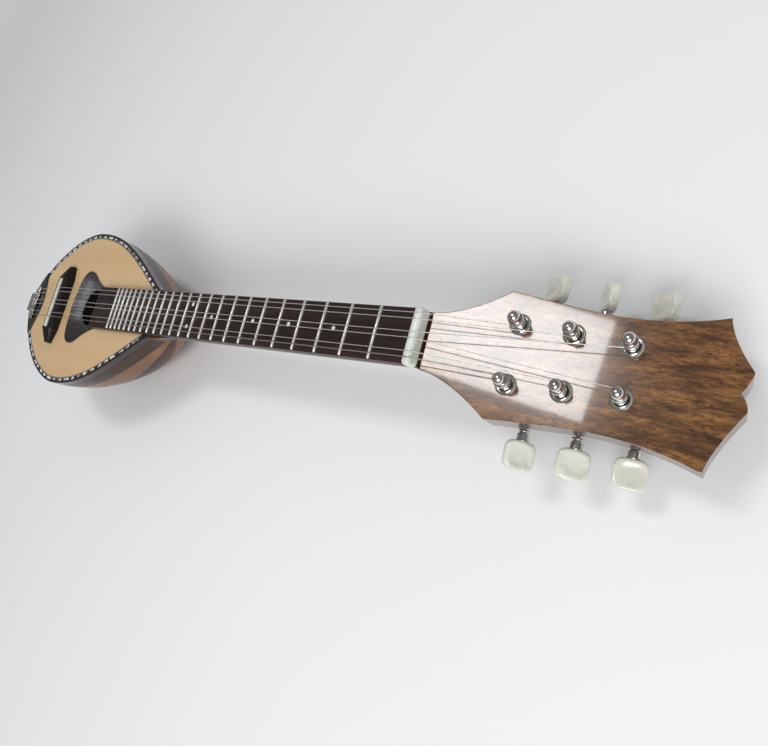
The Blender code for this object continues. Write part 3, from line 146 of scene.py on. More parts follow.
# Far side's edge from the tail end to the fingerboard
GUARD_HALF = ((-0.3425, 0.0), (-0.3414, 0.0100), (-0.3402, 0.0185), (-0.3376, 0.0250), (-0.3325, 0.0285),
              (-0.3262, 0.0285), (-0.3205, 0.0258), (-0.3135, 0.0215), (-0.3060, 0.0180), (-0.2978, 0.0155))
GUARD_EDGE = 0.00035
HOLE_LIP = 0.0005
LINING_GAP = 0.00005
LINING_DROP = 0.0004
BRIDGE_X = -0.361
# Place across, width and height
BRIDGE_STATIONS = ((-0.0318, 0.0066, 0.0030), (-0.0210, 0.0138, 0.0070), (0.0210, 0.0138, 0.0070),
                   (0.0318, 0.0066, 0.0030))
BRIDGE_EDGE = 0.0003
SADDLE_X = -0.3605
SADDLE_WIDTH = 0.0028
SADDLE_HALF_LENGTH = 0.0202
SADDLE_TOP_Z = 0.0035
SADDLE_FOOT = 0.0048
SADDLE_EDGE = 0.0009
NUT_LENGTH = 0.0050
NUT_TOP_Z = 0.0014
NUT_CREST_X = 0.0028
NUT_OVERHANG = 0.0006
NUT_EDGE = 0.0021
TAIL_GUARD_THICKNESS = 0.0008
TAIL_GUARD_FRONT_X = -0.397
TAIL_GUARD_CORNER_X = -0.4045
TAIL_GUARD_INSET = 0.0008
TAIL_GUARD_EDGE = 0.0003
TAIL_GUARD_POWER = 1.5
TAIL_TOP_Z = -0.0029
TAIL_THICKNESS = 0.0010
TAIL_FRONT_X = -0.4045
TAIL_BAR_LENGTH = 0.0040
TAIL_BAR_HALF = 0.0140
TAIL_LEAF_HALF = 0.0075
TAIL_STAND_OFF = 0.0006
TAIL_DROP = 0.0150
TAIL_BEND = 0.0013
TAIL_LEAF_LAP = 0.0010
TAIL_BAR_RISE = 0.0004
TAIL_BAR_EDGE = 0.0004
SHEET_EDGE = 0.0002
PIN_RADIUS = 0.0008
PIN_HEIGHT = 0.0026
# Radius, and drop below the pin's top
PIN_HEAD = ((0.0, 0.0), (0.0006, 0.0001), (0.0010, 0.0005), (0.0009, 0.0010), (PIN_RADIUS, 0.0013))

# Strings
COURSE_AT = {"tail": 0.0090, "saddle": 0.0104, "nut": 0.0091}
PAIR_AT = {"tail": 0.0016, "saddle": 0.00165, "nut": 0.00145}
STRING_RADII = {1: 0.00018, 2: 0.00018, 3: 0.00020, 4: 0.00020, 5: 0.00018, 6: 0.00026}
TUNER_OF_STRING = {1: 1, 2: 2, 3: 3, 4: 6, 5: 5, 6: 4}
STRING_ON_PIN = 0.0012
WINDING_TURNS = 4
WINDING_STEPS = 28
WINDING_START = 0.0008
NUT_EXIT = Vector((0.0012, 0.0, -0.0002))
TWIST_TURNS = 5
TWIST_STEPS = 10
TWIST_START = 0.0022
LOOP_START = math.radians(50.0)
LOOP_ANGLE = math.radians(260.0)
# In string radii
WINDING_PITCH = 2.15
TWIST_PITCH = 2.3
TWIST_REACH = 2.05

# Headstock
HEAD_TILT = math.radians(12.9)
HEAD_ORIGIN = Vector((0.005, 0.0, -0.00619))
HEAD_THICKNESS = 0.0165
VENEER_THICKNESS = 0.0015
VENEER_START_S = 0.0011
VENEER_EDGE = 0.0004
VENEER_SEAM = 0.00005
CORE_TOP = -(VENEER_THICKNESS + VENEER_SEAM)
CORE_START_S = 0.0008
CORE_BLEND_S = 0.0180
CORE_START_DEPTH = 0.0122
NECK_SWELL = 0.0010
NECK_SWELL_LENGTH = 0.030
HEAD_SQUARENESS = 30.0
CORE_OVERLAP = 0.0002
CORE_EDGE = 0.0008
POST_HOLE_RIM = 0.006
HEAD_NUT_HALF = 0.0137
SHOULDER_S, SHOULDER_HALF, SHOULDER_POWER = 0.0360, 0.0290, 1.7
WAIST_S, WAIST_HALF, WAIST_POWER = 0.0800, 0.0246, 1.25
CORNER_S, CORNER_HALF, CORNER_POWER = 0.1233, 0.0304, 2.5
CORNER_LEAN = 0.0028
LOBE_S, LOBE_Y, NOTCH_S = 0.1342, 0.0078, 0.1311
COVE_POWER = 1.45

# Tuners: number, side, and the post's place along and across the headstock
TUNERS = ((1, 1, 0.0426, 0.0135), (2, 1, 0.0662, 0.0122), (3, 1, 0.0898, 0.0109),
          (4, -1, 0.0426, -0.0135), (5, -1, 0.0662, -0.0122), (6, -1, 0.0898, -0.0109))
POST_RADIUS = 0.00285
POST_WAIST = 0.0022
POST_HOLE_RADIUS = 0.00415
POST_KNOB = 0.0101
POST_BALL = 0.0029
POST_FOOT = -0.0209
BORE_RADIUS = 0.00315
WINDING_TOP = 0.0070
WINDING_FOOT = 0.0036
BUSHING_FLANGE = 0.0048
BUSHING_HEIGHT = 0.0012
BUSHING_DEPTH = 0.008
BUSHING_LIP = 0.0045
GEAR_TEETH = 14
GEAR_RADIUS = 0.0042
GEAR_THICKNESS = 0.0024
# Height over the wheel's radius, and half width; the thread below has radius and half width
GEAR_TOOTH = ((-0.00065, 0.00047), (0.0, 0.00034), (0.0005, 0.00019))
GEAR_EDGE = 0.0001
GEAR_SCREW_RADIUS = 0.0016
GEAR_SCREW_HEIGHT = 0.0006
GEAR_PITCH = 2.0 * math.pi * GEAR_RADIUS / GEAR_TEETH
WORM_ROOT = 0.00145
WORM_CREST = 0.0025
WORM_TURNS = 3
WORM_STEPS = 24
WORM_HALF_LENGTH = 0.0040
WORM_THREAD = ((WORM_ROOT - 0.0002, 0.00062), (WORM_ROOT, 0.00056), (WORM_CREST, 0.00021))
WORM_OFF = -0.0221
WORM_OFFSET_S = 0.0062
SHAFT_RADIUS = 0.0013
SHAFT_STEP = 0.0001
SHAFT_CHAMFER = 0.0002
SHAFT_PROUD = 0.0005
SHAFT_IN_BUTTON = 0.0055
EAR_INNER = 0.0043
EAR_THICKNESS = 0.0012
EAR_HALF = 0.0030
EAR_REACH = 0.0028
PLATE_TOP_OFF = -0.0168
PLATE_THICKNESS = 0.0010
PLATE_SPAN_S = (0.0331, 0.1070)
PLATE_SPAN_Y = (0.0043, 0.0212)
PLATE_CORNER = 0.0035
SCREW_RADIUS = 0.0019
SCREW_HEIGHT = 0.0008
SCREW_STEP_S = 0.015
SCREW_FIRST_S = -0.0068
# Shares of the screw's height, radius and height
SCREW_DOME = 0.6
SCREW_SLOT_HALF = 0.13
SCREW_SLOT_DEPTH = 0.55
BUTTON_START = 0.0145
STEM_LENGTHS = {1: 0.0040, -1: 0.0054}
STEM_RADIUS = 0.0030
BUTTON_LENGTH = 0.0133
BUTTON_HALF = 0.0073
BUTTON_THIN = 0.0033
BUTTON_DISH = 0.38
BUTTON_OUTLINE_POWER = 3.8
BUTTON_SIDE_POWER = 5.0
BUTTON_CORNER_POWER = 0.72
BUTTON_FACE_POWER = 0.55
DISH_WIDTH = 1.15
DISH_LENGTH = 2.15
BUTTON_LAP = 0.0004
# Degrees
BUTTON_TURNS = {1: 42.0, 2: 64.0, 3: 38.0, 4: 42.0, 5: 24.0, 6: 8.0}

# Stage and camera, the camera's turns about x, y and z in degrees
FLOOR_HALF = 6.0
FLOOR_DROP = 0.0002
GLOW_START = 0.9
GLOW_FULL = 2.4
GLOW_LEVEL = 0.48
CAMERA_PLACE = (0.34393, -0.06559, 0.30813)
CAMERA_TURN = (20.69216, 37.52209, 19.27786)
CAMERA_LENS = 32.83
CAMERA_SENSOR = 36.0
CAMERA_CLIP = (0.01, 30.0)

# The drawing frame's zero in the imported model: the fingerboard's nut end and its face
board_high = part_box("fingerboard")[1]
SET_IN = Vector((board_high.x, 0.0, board_high.z - FRET_HEIGHT))
ROOT = "instrument"


# Shading tools

def add_node(tree, kind, inputs=None, **settings):
    # A new node with its settings; an input is a socket to link, a colour without alpha or a plain value
    made = tree.nodes.new(kind)
    for key, value in settings.items():
        setattr(made, key, value)
    for key, value in (inputs or {}).items():
        socket = made.inputs[key]
        if isinstance(value, bpy.types.NodeSocket):
            tree.links.new(value, socket)
        else:
            socket.default_value = (*value, 1.0) if socket.type == "RGBA" else value
    return made


def mix_colour(tree, factor, first, second):
    # Inputs 6 and 7 and output 2 of a Mix node are its colours
    return add_node(tree, "ShaderNodeMix", {0: factor, 6: first, 7: second}, data_type="RGBA").outputs[2]


def remap(tree, value, low, high, to_low=0.0, to_high=1.0):
    inputs = {"Value": value, "From Min": low, "From Max": high, "To Min": to_low, "To Max": to_high}
    return add_node(tree, "ShaderNodeMapRange", inputs).outputs["Result"]


def noise(tree, vector, scale, detail, roughness=0.5, distortion=0.0):
    inputs = {"Vector": vector, "Scale": scale, "Detail": detail, "Roughness": roughness,
              "Distortion": distortion}
    return add_node(tree, "ShaderNodeTexNoise", inputs).outputs["Fac"]


def calc(tree, operation, first, second):
    return add_node(tree, "ShaderNodeMath", {0: first, 1: second}, operation=operation).outputs[0]


def effect_group(name, inputs, outputs):
    # An empty effect with its named sockets; returns the tree, what it takes and what it gives
    tree = bpy.data.node_groups.new(name, "ShaderNodeTree")
    for sockets, way in ((inputs, "INPUT"), (outputs, "OUTPUT")):
        for label, kind in sockets.items():
            tree.interface.new_socket(label, in_out=way, socket_type="NodeSocket" + kind)
    return tree, tree.nodes.new("NodeGroupInput").outputs, tree.nodes.new("NodeGroupOutput").inputs


def make_wood_figure():
    # Broad streaks, fine fibres and short dark pores, all drawn out along the grain
    tree, taken, given = effect_group(
        "wood_figure",
        {"Vector": "Vector", "Pale": "Color", "Deep": "Color", "Streaks": "Float", "Fibre": "Float",
         "Fibre Depth": "Float", "Pores": "Float"},
        {"Color": "Color", "Height": "Float"})
    vector, deep = taken["Vector"], taken["Deep"]
    streak = remap(tree, noise(tree, vector, taken["Streaks"], 4.0, 0.6, 0.6), 0.34, 0.66)
    fibre = noise(tree, vector, taken["Fibre"], 4.0, 0.7, 0.2)
    speck = noise(tree, vector, calc(tree, "MULTIPLY", taken["Fibre"], 2.5), 1.0, 0.4)
    pore = calc(tree, "MULTIPLY", remap(tree, speck, 0.59, 0.69), taken["Pores"])
    line = calc(tree, "MULTIPLY", remap(tree, fibre, 0.43, 0.62), taken["Fibre Depth"])
    lined = mix_colour(tree, line, mix_colour(tree, streak, deep, taken["Pale"]), deep)
    tree.links.new(mix_colour(tree, pore, lined, (0.012, 0.007, 0.005)), given["Color"])
    tree.links.new(calc(tree, "SUBTRACT", fibre, pore), given["Height"])
    return tree


def make_handling():
    # Uneven polish: soft smudges and fine rubbed marks in the gloss
    tree, taken, given = effect_group(
        "handling", {"Vector": "Vector", "Scale": "Float", "Low": "Float", "High": "Float"},
        {"Roughness": "Float", "Height": "Float"})
    smudge = noise(tree, taken["Vector"], taken["Scale"], 3.0, 0.6, 0.4)
    fine = noise(tree, taken["Vector"], calc(tree, "MULTIPLY", taken["Scale"], 14.0), 2.0, 0.6)
    both = calc(tree, "ADD", calc(tree, "MULTIPLY", smudge, 0.75), calc(tree, "MULTIPLY", fine, 0.25))
    tree.links.new(remap(tree, both, 0.3, 0.7, taken["Low"], taken["High"]), given["Roughness"])
    tree.links.new(fine, given["Height"])
    return tree


def make_nacre():
    # Layered shell: cloudy bands that drift between silver, rose and sea green
    tree, taken, given = effect_group(
        "nacre", {"Vector": "Vector", "Scale": "Float", "Pale": "Color", "Shade": "Color", "Tint": "Float"},
        {"Color": "Color", "Height": "Float"})
    cloud = noise(tree, taken["Vector"], taken["Scale"], 3.0, 0.6, 2.2)
    band = noise(tree, taken["Vector"], calc(tree, "MULTIPLY", taken["Scale"], 2.6), 2.0, 0.5, 3.0)
    colour = mix_colour(tree, remap(tree, cloud, 0.42, 0.54), taken["Shade"], taken["Pale"])
    for end, tint in ((0.7, (0.86, 0.66, 0.66)), (0.3, (0.56, 0.72, 0.66))):
        share = calc(tree, "MULTIPLY", remap(tree, band, 0.5, end), taken["Tint"])
        colour = mix_colour(tree, share, colour, tint)
    tree.links.new(colour, given["Color"])
    tree.links.new(band, given["Height"])
    return tree


WOOD_FIGURE = make_wood_figure()
HANDLING = make_handling()
NACRE = make_nacre()


def begin_material(name, stretch=(1.0, 1.0, 1.0), turn=(0.0, 0.0, 0.0)):
    # A new material, its shader and its mapped Object coordinates
    made = bpy.data.materials.new(name)
    made.use_nodes = True
    tree = made.node_tree
    shader = tree.nodes["Principled BSDF"]
    place = add_node(tree, "ShaderNodeTexCoord").outputs["Object"]
    mapped = add_node(tree, "ShaderNodeMapping", {"Vector": place, "Rotation": turn, "Scale": stretch})
    return made, tree, shader, mapped.outputs["Vector"]


def polish(tree, shader, vector, scale, gloss, height=None, bump=0.0, distance=0.0001, coat=0.0,
           coat_roughness=0.03):
    # Uneven gloss under an even coat, and a bump from the given height or from the fine marks
    handled = {"Vector": vector, "Scale": scale, "Low": gloss[0], "High": gloss[1]}
    worn = add_node(tree, "ShaderNodeGroup", handled, node_tree=HANDLING)
    tree.links.new(worn.outputs["Roughness"], shader.inputs["Roughness"])
    shader.inputs["Coat Weight"].default_value = coat
    shader.inputs["Coat Roughness"].default_value = coat_roughness
    if bump > 0.0:
        relief = {"Strength": bump, "Distance": distance, "Height": height or worn.outputs["Height"]}
        raised = add_node(tree, "ShaderNodeBump", relief)
        tree.links.new(raised.outputs["Normal"], shader.inputs["Normal"])


def wood_figure(tree, vector, pale, deep, streaks, fibre, fibre_depth, pores):
    # The grain's colour and its height
    inputs = {"Vector": vector, "Pale": pale, "Deep": deep, "Streaks": streaks, "Fibre": fibre,
              "Fibre Depth": fibre_depth, "Pores": pores}
    figure = add_node(tree, "ShaderNodeGroup", inputs, node_tree=WOOD_FIGURE)
    return figure.outputs["Color"], figure.outputs["Height"]


def wood_material(name, pale, deep, streaks, fibre, pores, gloss, coat=0.0, stretch=0.05, bump=0.1, turn=0.0,
                  specular=0.5, fibre_depth=0.4):
    made, tree, shader, vector = begin_material(name, (stretch, 1.0, 1.0), (0.0, turn, 0.0))
    colour, height = wood_figure(tree, vector, pale, deep, streaks, fibre, fibre_depth, pores)
    tree.links.new(colour, shader.inputs["Base Color"])
    polish(tree, shader, vector, 60.0, gloss, height, bump, coat=coat, coat_roughness=0.04)
    shader.inputs["Specular IOR Level"].default_value = specular
    return made


def spruce_material():
    # Straight growth lines under a thin glossy lacquer
    made, tree, shader, vector = begin_material("spruce_top", (0.05, 1.0, 1.0))
    growth = {"Vector": vector, "Scale": 210.0, "Distortion": 1.6, "Detail": 2.0, "Detail Scale": 0.6,
              "Detail Roughness": 0.5}
    lines = add_node(tree, "ShaderNodeTexWave", growth, wave_type="BANDS", bands_direction="Y").outputs["Fac"]
    faded = remap(tree, noise(tree, vector, 30.0, 2.0, 0.5), 0.2, 0.7)
    line_mask = calc(tree, "MULTIPLY", remap(tree, lines, 0.45, 1.0, 0.0, 0.28), faded)
    colour, height = wood_figure(tree, vector, pale=(0.72, 0.500, 0.275), deep=(0.66, 0.440, 0.225),
                                 streaks=55.0, fibre=900.0, fibre_depth=0.3, pores=0.0)
    tree.links.new(mix_colour(tree, line_mask, colour, (0.53, 0.325, 0.150)), shader.inputs["Base Color"])
    polish(tree, shader, vector, 40.0, (0.22, 0.34), height, 0.05, coat=0.25, coat_roughness=0.12)
    return made


def pearl_material(name, pale, shade, scale, tint, gloss):
    made, tree, shader, vector = begin_material(name)
    inputs = {"Vector": vector, "Scale": scale, "Pale": pale, "Shade": shade, "Tint": tint}
    shell = add_node(tree, "ShaderNodeGroup", inputs, node_tree=NACRE)
    tree.links.new(shell.outputs["Color"], shader.inputs["Base Color"])
    polish(tree, shader, vector, 90.0, gloss, shell.outputs["Height"], 0.05, coat=0.5, coat_roughness=0.05)
    return made


def metal_material(name, colour, dull, scale, gloss, metallic=1.0):
    made, tree, shader, vector = begin_material(name)
    tarnish = remap(tree, noise(tree, vector, scale * 0.4, 4.0, 0.65, 0.5), 0.45, 0.8, 0.0, 0.5)
    tree.links.new(mix_colour(tree, tarnish, colour, dull), shader.inputs["Base Color"])
    shader.inputs["Metallic"].default_value = metallic
    polish(tree, shader, vector, scale, gloss, bump=0.04, distance=0.00003)
    return made


def plain_material(name, colour, second, scale, gloss, coat, bump=0.03):
    # Even stuff such as bone, guard plastic or black line wood, with a faint cloud in its colour
    made, tree, shader, vector = begin_material(name)
    cloud = remap(tree, noise(tree, vector, scale, 4.0, 0.6, 0.3), 0.35, 0.7)
    tree.links.new(mix_colour(tree, cloud, colour, second), shader.inputs["Base Color"])
    polish(tree, shader, vector, scale, gloss, bump=bump, coat=coat)
    return made


def wound_material():
    # Fine turns of wrap wire along the thickest string, with painted shade in the grooves between turns
    made, tree, shader, vector = begin_material("wound_wire")
    turns = add_node(tree, "ShaderNodeTexWave", {"Vector": vector, "Scale": 900.0, "Distortion": 0.0},
                     wave_type="BANDS", bands_direction="X").outputs["Fac"]
    # Light bands are the wire's own colour; the dark bands are painted shade in the grooves
    wrap_and_groove_shade = mix_colour(tree, remap(tree, turns, 0.0, 0.5), (0.30, 0.27, 0.24), (0.80, 0.76, 0.70))
    tree.links.new(wrap_and_groove_shade, shader.inputs["Base Color"])
    shader.inputs["Metallic"].default_value = 1.0
    polish(tree, shader, vector, 200.0, (0.22, 0.36), turns, 0.4, 0.00004)
    return made


SPRUCE = spruce_material()
DARK_RIB = wood_material("dark_rosewood", (0.085, 0.033, 0.016), (0.020, 0.009, 0.006), streaks=60.0,
                         fibre=1100.0, pores=0.35, gloss=(0.22, 0.34), coat=0.06, specular=0.2)
LIGHT_RIB = wood_material("light_rosewood", (0.33, 0.155, 0.064), (0.18, 0.076, 0.030), streaks=55.0,
                          fibre=1100.0, pores=0.3, gloss=(0.22, 0.34), coat=0.06, specular=0.2)
NECK_WOOD = wood_material("neck_wood", (0.13, 0.058, 0.030), (0.050, 0.022, 0.012), streaks=70.0,
                          fibre=1300.0, pores=0.4, gloss=(0.16, 0.28), coat=0.35, specular=0.4)
VENEER_WOOD = wood_material("headstock_walnut", (0.330, 0.150, 0.044), (0.064, 0.024, 0.008), streaks=210.0,
                            fibre=840.0, pores=0.65, gloss=(0.13, 0.20), coat=1.0, stretch=0.026, bump=0.05,
                            turn=HEAD_TILT, fibre_depth=0.82)
BOARD_WOOD = wood_material("fingerboard_wood", (0.042, 0.023, 0.019), (0.016, 0.009, 0.008), streaks=110.0,
                           fibre=900.0, pores=0.8, gloss=(0.30, 0.46), stretch=0.04, bump=0.14, specular=0.28)
INNER_WOOD = wood_material("inner_wood", (0.47, 0.31, 0.16), (0.33, 0.20, 0.09), streaks=60.0, fibre=700.0,
                           pores=0.2, gloss=(0.55, 0.75))
EBONY = wood_material("ebony", (0.013, 0.011, 0.010), (0.006, 0.005, 0.005), streaks=90.0, fibre=900.0,
                      pores=0.5, gloss=(0.38, 0.50), specular=0.22)
BINDING_BLACK = wood_material("binding_wood", (0.045, 0.028, 0.024), (0.014, 0.009, 0.008), streaks=80.0,
                              fibre=800.0, pores=0.4, gloss=(0.12, 0.22), coat=0.35, specular=0.4)
GUARD_BLACK = plain_material("guard_plastic", (0.006, 0.006, 0.007), (0.012, 0.012, 0.013), 10.0,
                             (0.13, 0.16), 0.10, 0.0)
BONE = plain_material("bone", (0.70, 0.73, 0.66), (0.61, 0.63, 0.55), 160.0, (0.22, 0.36), 0.2)
WHITE_LINE = plain_material("white_line", (0.72, 0.69, 0.60), (0.60, 0.57, 0.48), 200.0, (0.25, 0.35), 0.3)
BLACK_LINE = plain_material("black_line", (0.012, 0.010, 0.009), (0.020, 0.017, 0.015), 120.0,
                            (0.15, 0.25), 0.5)
# Shell chips: the pale is the shell's own colour, the near-black cloud is painted reflection, chips darkened
# as if turned away from the light
SHELL = pearl_material("shell_inlay_painted_reflection", (0.88, 0.88, 0.84), (0.06, 0.075, 0.075), 110.0, 0.30, (0.08, 0.18))
DOT_SHELL = pearl_material("dot_shell", (0.84, 0.84, 0.78), (0.70, 0.71, 0.66), 300.0, 0.2, (0.10, 0.2))
BUTTON_PEARL = pearl_material("button_pearl", (0.78, 0.77, 0.68), (0.68, 0.67, 0.58), 60.0, 0.06,
                              (0.12, 0.22))
NICKEL = metal_material("nickel", (0.74, 0.72, 0.68), (0.48, 0.46, 0.42), 260.0, (0.10, 0.24))
FRET_METAL = metal_material("fret_metal", (0.93, 0.91, 0.86), (0.80, 0.78, 0.72), 320.0, (0.28, 0.40), 0.72)
STEEL = metal_material("string_steel", (0.90, 0.89, 0.86), (0.76, 0.75, 0.71), 300.0, (0.24, 0.36), 0.75)
WOUND = wound_material()


# Shaping tools

def woven(along, around, place, tube=False, capped=False):
    # A grid laid on the points that place(i, j) gives, closed into a tube and capped when asked
    work = bmesh.new()
    bmesh.ops.create_grid(work, x_segments=along, y_segments=around, size=0.5)
    for vert in work.verts:
        i = round((vert.co.x + 0.5) * along)
        j = round((vert.co.y + 0.5) * around)
        vert.co = place(i, j % around if tube else j)
    bmesh.ops.remove_doubles(work, verts=work.verts, dist=2.0 * WELD)
    if capped:
        close_ends(work)
    return work


def close_ends(work):
    bmesh.ops.holes_fill(work, edges=[e for e in work.edges if e.is_boundary], sides=0)


def arc(centre, radii, start, end, steps):
    # Points along part of an ellipse, with both ends
    angles = [start + (end - start) * k / steps for k in range(steps + 1)]
    return [(centre[0] + radii[0] * math.cos(a), centre[1] + radii[1] * math.sin(a)) for a in angles]


def eased(share):
    # Slow at both ends
    return share * share * (3.0 - 2.0 * share)


def turned(profile, steps, ring=False):
    # Lathe work about z; the profile gives radius and height
    work = bmesh.new()
    verts = [work.verts.new((radius, 0.0, height)) for radius, height in profile]
    pairs = list(zip(verts, verts[1:]))
    if ring:
        pairs.append((verts[-1], verts[0]))
    edges = [work.edges.new(pair) for pair in pairs]
    bmesh.ops.spin(work, geom=verts + edges, cent=(0.0, 0.0, 0.0), axis=(0.0, 0.0, 1.0), dvec=(0.0, 0.0, 0.0),
                   angle=2.0 * math.pi, steps=steps, use_merge=True, use_duplicate=False)
    bmesh.ops.remove_doubles(work, verts=work.verts, dist=WELD)
    return work


def soften(work, edges, width, steps=3):
    bmesh.ops.bevel(work, geom=edges, offset=width, segments=steps, profile=0.5, affect="EDGES", material=-1)


def rim_edges(work, levels):
    # Sharp edges that lie in one of the given levels
    return [e for e in work.edges if e.is_manifold and e.calc_face_angle() > 1.0
            and any(all(abs(v.co.z - level) < TOUCH for v in e.verts) for level in levels)]


def raise_faces(work, faces, height):
    # Extrudes flat faces straight up, or down where the height is below zero
    grown = bmesh.ops.extrude_face_region(work, geom=faces)["geom"]
    verts = [part for part in grown if isinstance(part, bmesh.types.BMVert)]
    bmesh.ops.translate(work, vec=(0.0, 0.0, height), verts=verts)


def sawn_plate(outline, low, high, holes=(), edge=0.0, both=False, steps=3):
    # A plate sawn to an outline, with round holes (x, y, half length, half width) and eased rims
    work = bmesh.new()
    ring = bmesh.ops.create_circle(work, segments=len(outline), radius=1.0)["verts"]
    for vert, (x, y) in zip(ring, outline):
        vert.co = (x, y, low)
    for x, y, half_length, half_width in holes:
        hole = bmesh.ops.create_circle(work, segments=HOLE_SIDES, radius=1.0)["verts"]
        for vert in hole:
            vert.co = (x + vert.co.x * half_length, y + vert.co.y * half_width, low)
    bmesh.ops.triangle_fill(work, use_beauty=True, use_dissolve=False, edges=work.edges[:])
    raise_faces(work, work.faces[:], high - low)
    bmesh.ops.recalc_face_normals(work, faces=work.faces)
    if edge > 0.0:
        soften(work, rim_edges(work, (low, high) if both else (high,)), edge, steps)
    crease_flats(work)
    return work


def crease_flats(work):
    # Keeps the sawn faces dead flat in the light, so that only the eased rims turn it
    work.normal_update()
    for edge in work.edges:
        flat = [abs(face.normal.z) > 0.9999 for face in edge.link_faces]
        if any(flat) and not all(flat):
            edge.smooth = False


def block(low, high, edge, steps=3, keep_foot=False):
    # A squared block with eased edges
    work = bmesh.new()
    bmesh.ops.create_cube(work, size=1.0)
    low, high = Vector(low), Vector(high)
    size = high - low
    for vert in work.verts:
        vert.co = Vector([low[n] + (vert.co[n] + 0.5) * size[n] for n in range(3)])
    edges = [e for e in work.edges if not (keep_foot and all(v.co.z < low.z + TOUCH for v in e.verts))]
    soften(work, edges, edge, steps)
    return work


def gathered(*parts):
    # Several shapes in one
    work = bmesh.new()
    for shape in parts:
        mesh = bpy.data.meshes.new("gather")
        shape.to_mesh(mesh)
        shape.free()
        work.from_mesh(mesh)
        bpy.data.meshes.remove(mesh)
    return work


def moved(work, matrix):
    bmesh.ops.transform(work, matrix=matrix, verts=work.verts)
    return work


def placed(work, place, quarters=0):
    # Turned by quarter turns about x, then moved
    return moved(work, Matrix.Translation(place) @ Matrix.Rotation(0.5 * math.pi * quarters, 4, "X"))


def on_head(s, y, off):
    along = Vector((math.cos(HEAD_TILT), 0.0, -math.sin(HEAD_TILT)))
    up = Vector((math.sin(HEAD_TILT), 0.0, math.cos(HEAD_TILT)))
    return HEAD_ORIGIN + along * s + up * off + Vector((0.0, y, 0.0))


def set_on_head(work, s=0.0, y=0.0, off=0.0):
    return moved(work, Matrix.Translation(on_head(s, y, off)) @ Matrix.Rotation(HEAD_TILT, 4, "Y"))


def set_out(name, work, look):
    # The shape as an object of the scene, in its material
    mesh = bpy.data.meshes.new(name)
    work.to_mesh(mesh)
    work.free()
    mesh.materials.append(look)
    made = bpy.data.objects.new(name, mesh)
    bpy.context.scene.collection.objects.link(made)
    return made


def finished(name, work, look, slot, nodes=(), body=ROOT, crease=38.0):
    # Puts a shape in the model with its finish, its ride and the solids it stands for
    bmesh.ops.recalc_face_normals(work, faces=work.faces)
    bmesh.ops.translate(work, vec=SET_IN, verts=work.verts)
    work.normal_update()
    for face in work.faces:
        face.smooth = True
    for edge in work.edges:
        if edge.is_manifold and edge.calc_face_angle() > math.radians(crease):
            edge.smooth = False
    piece = set_out(name, work, look)
    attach(piece, body)
    if nodes:
        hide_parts(*nodes)


def drawn_wire(points, radius):
    # A wire along the points, as a mesh shape
    curve = bpy.data.curves.new("wire", "CURVE")
    curve.dimensions = "3D"
    spline = curve.splines.new("POLY")
    spline.points.add(len(points) - 1)
    for point, place in zip(spline.points, points):
        point.co = (*place, 1.0)
    curve.bevel_depth = radius
    curve.bevel_resolution = 3
    curve.use_fill_caps = True
    holder = bpy.data.objects.new("wire", curve)
    bpy.context.scene.collection.objects.link(holder)
    bpy.context.view_layer.update()
    mesh = bpy.data.meshes.new_from_object(holder.evaluated_get(bpy.context.evaluated_depsgraph_get()))
    work = bmesh.new()
    work.from_mesh(mesh)
    bpy.data.objects.remove(holder)
    bpy.data.curves.remove(curve)
    bpy.data.meshes.remove(mesh)
    bmesh.ops.remove_doubles(work, verts=work.verts, dist=WELD)
    return work


# The instrument's lines

def board_half(x):
    return 0.5 * (BOARD_WIDTH_NUT + (BOARD_WIDTH_SADDLE - BOARD_WIDTH_NUT) * (-x / SCALE_LENGTH))


def fret_x(number):
    return -SCALE_LENGTH * (1.0 - 2.0 ** (-number / 12.0))


def body_half(x):
    if x <= BODY_WIDEST_X:
        t = min(1.0, (BODY_WIDEST_X - x) / (BODY_WIDEST_X - BODY_TAIL_X))
        return BODY_HALF_WIDTH * (1.0 - t ** TAIL_ROUNDNESS) ** (1.0 / TAIL_ROUNDNESS)
    t = (x - BODY_WIDEST_X) / (BODY_FRONT_X - BODY_WIDEST_X)
    fall = t * t * (1.0 + FLANK_SWELL * t * (1.0 - t))
    return BODY_HALF_WIDTH - (BODY_HALF_WIDTH - JOINT_HALF_WIDTH) * fall


def body_depth(x):
    if x <= BOWL_DEEPEST_X:
        t = min(1.0, (BOWL_DEEPEST_X - x) / (BOWL_DEEPEST_X - BODY_TAIL_X))
        return BOWL_DEPTH * (1.0 - t ** TAIL_DEPTH_ROUNDNESS) ** (1.0 / TAIL_DEPTH_ROUNDNESS)
    t = (x - BOWL_DEEPEST_X) / (BODY_FRONT_X - BOWL_DEEPEST_X)
    return JOINT_DEPTH + (BOWL_DEPTH - JOINT_DEPTH) * (1.0 - t ** HEEL_ROUNDNESS)


def tail_at_depth(depth):
    share = (depth / BOWL_DEPTH) ** TAIL_DEPTH_ROUNDNESS
    return BOWL_DEEPEST_X - (BOWL_DEEPEST_X - BODY_TAIL_X) * (1.0 - share) ** (1.0 / TAIL_DEPTH_ROUNDNESS)


def half_at_depth(x, depth):
    share = min(1.0, depth / max(body_depth(x), 1e-9)) ** BOWL_ROUNDNESS
    return body_half(x) * (1.0 - share) ** (1.0 / BOWL_ROUNDNESS)


def bowl_point(x, angle, wall=0.0):
    wide = abs(math.cos(angle)) / max(body_half(x), 1e-6)
    deep = math.sin(angle) / max(body_depth(x), 1e-6)
    r = (wide ** BOWL_ROUNDNESS + deep ** BOWL_ROUNDNESS) ** (-1.0 / BOWL_ROUNDNESS) - wall
    return Vector((x, r * math.cos(angle), TOP_Z - r * math.sin(angle)))


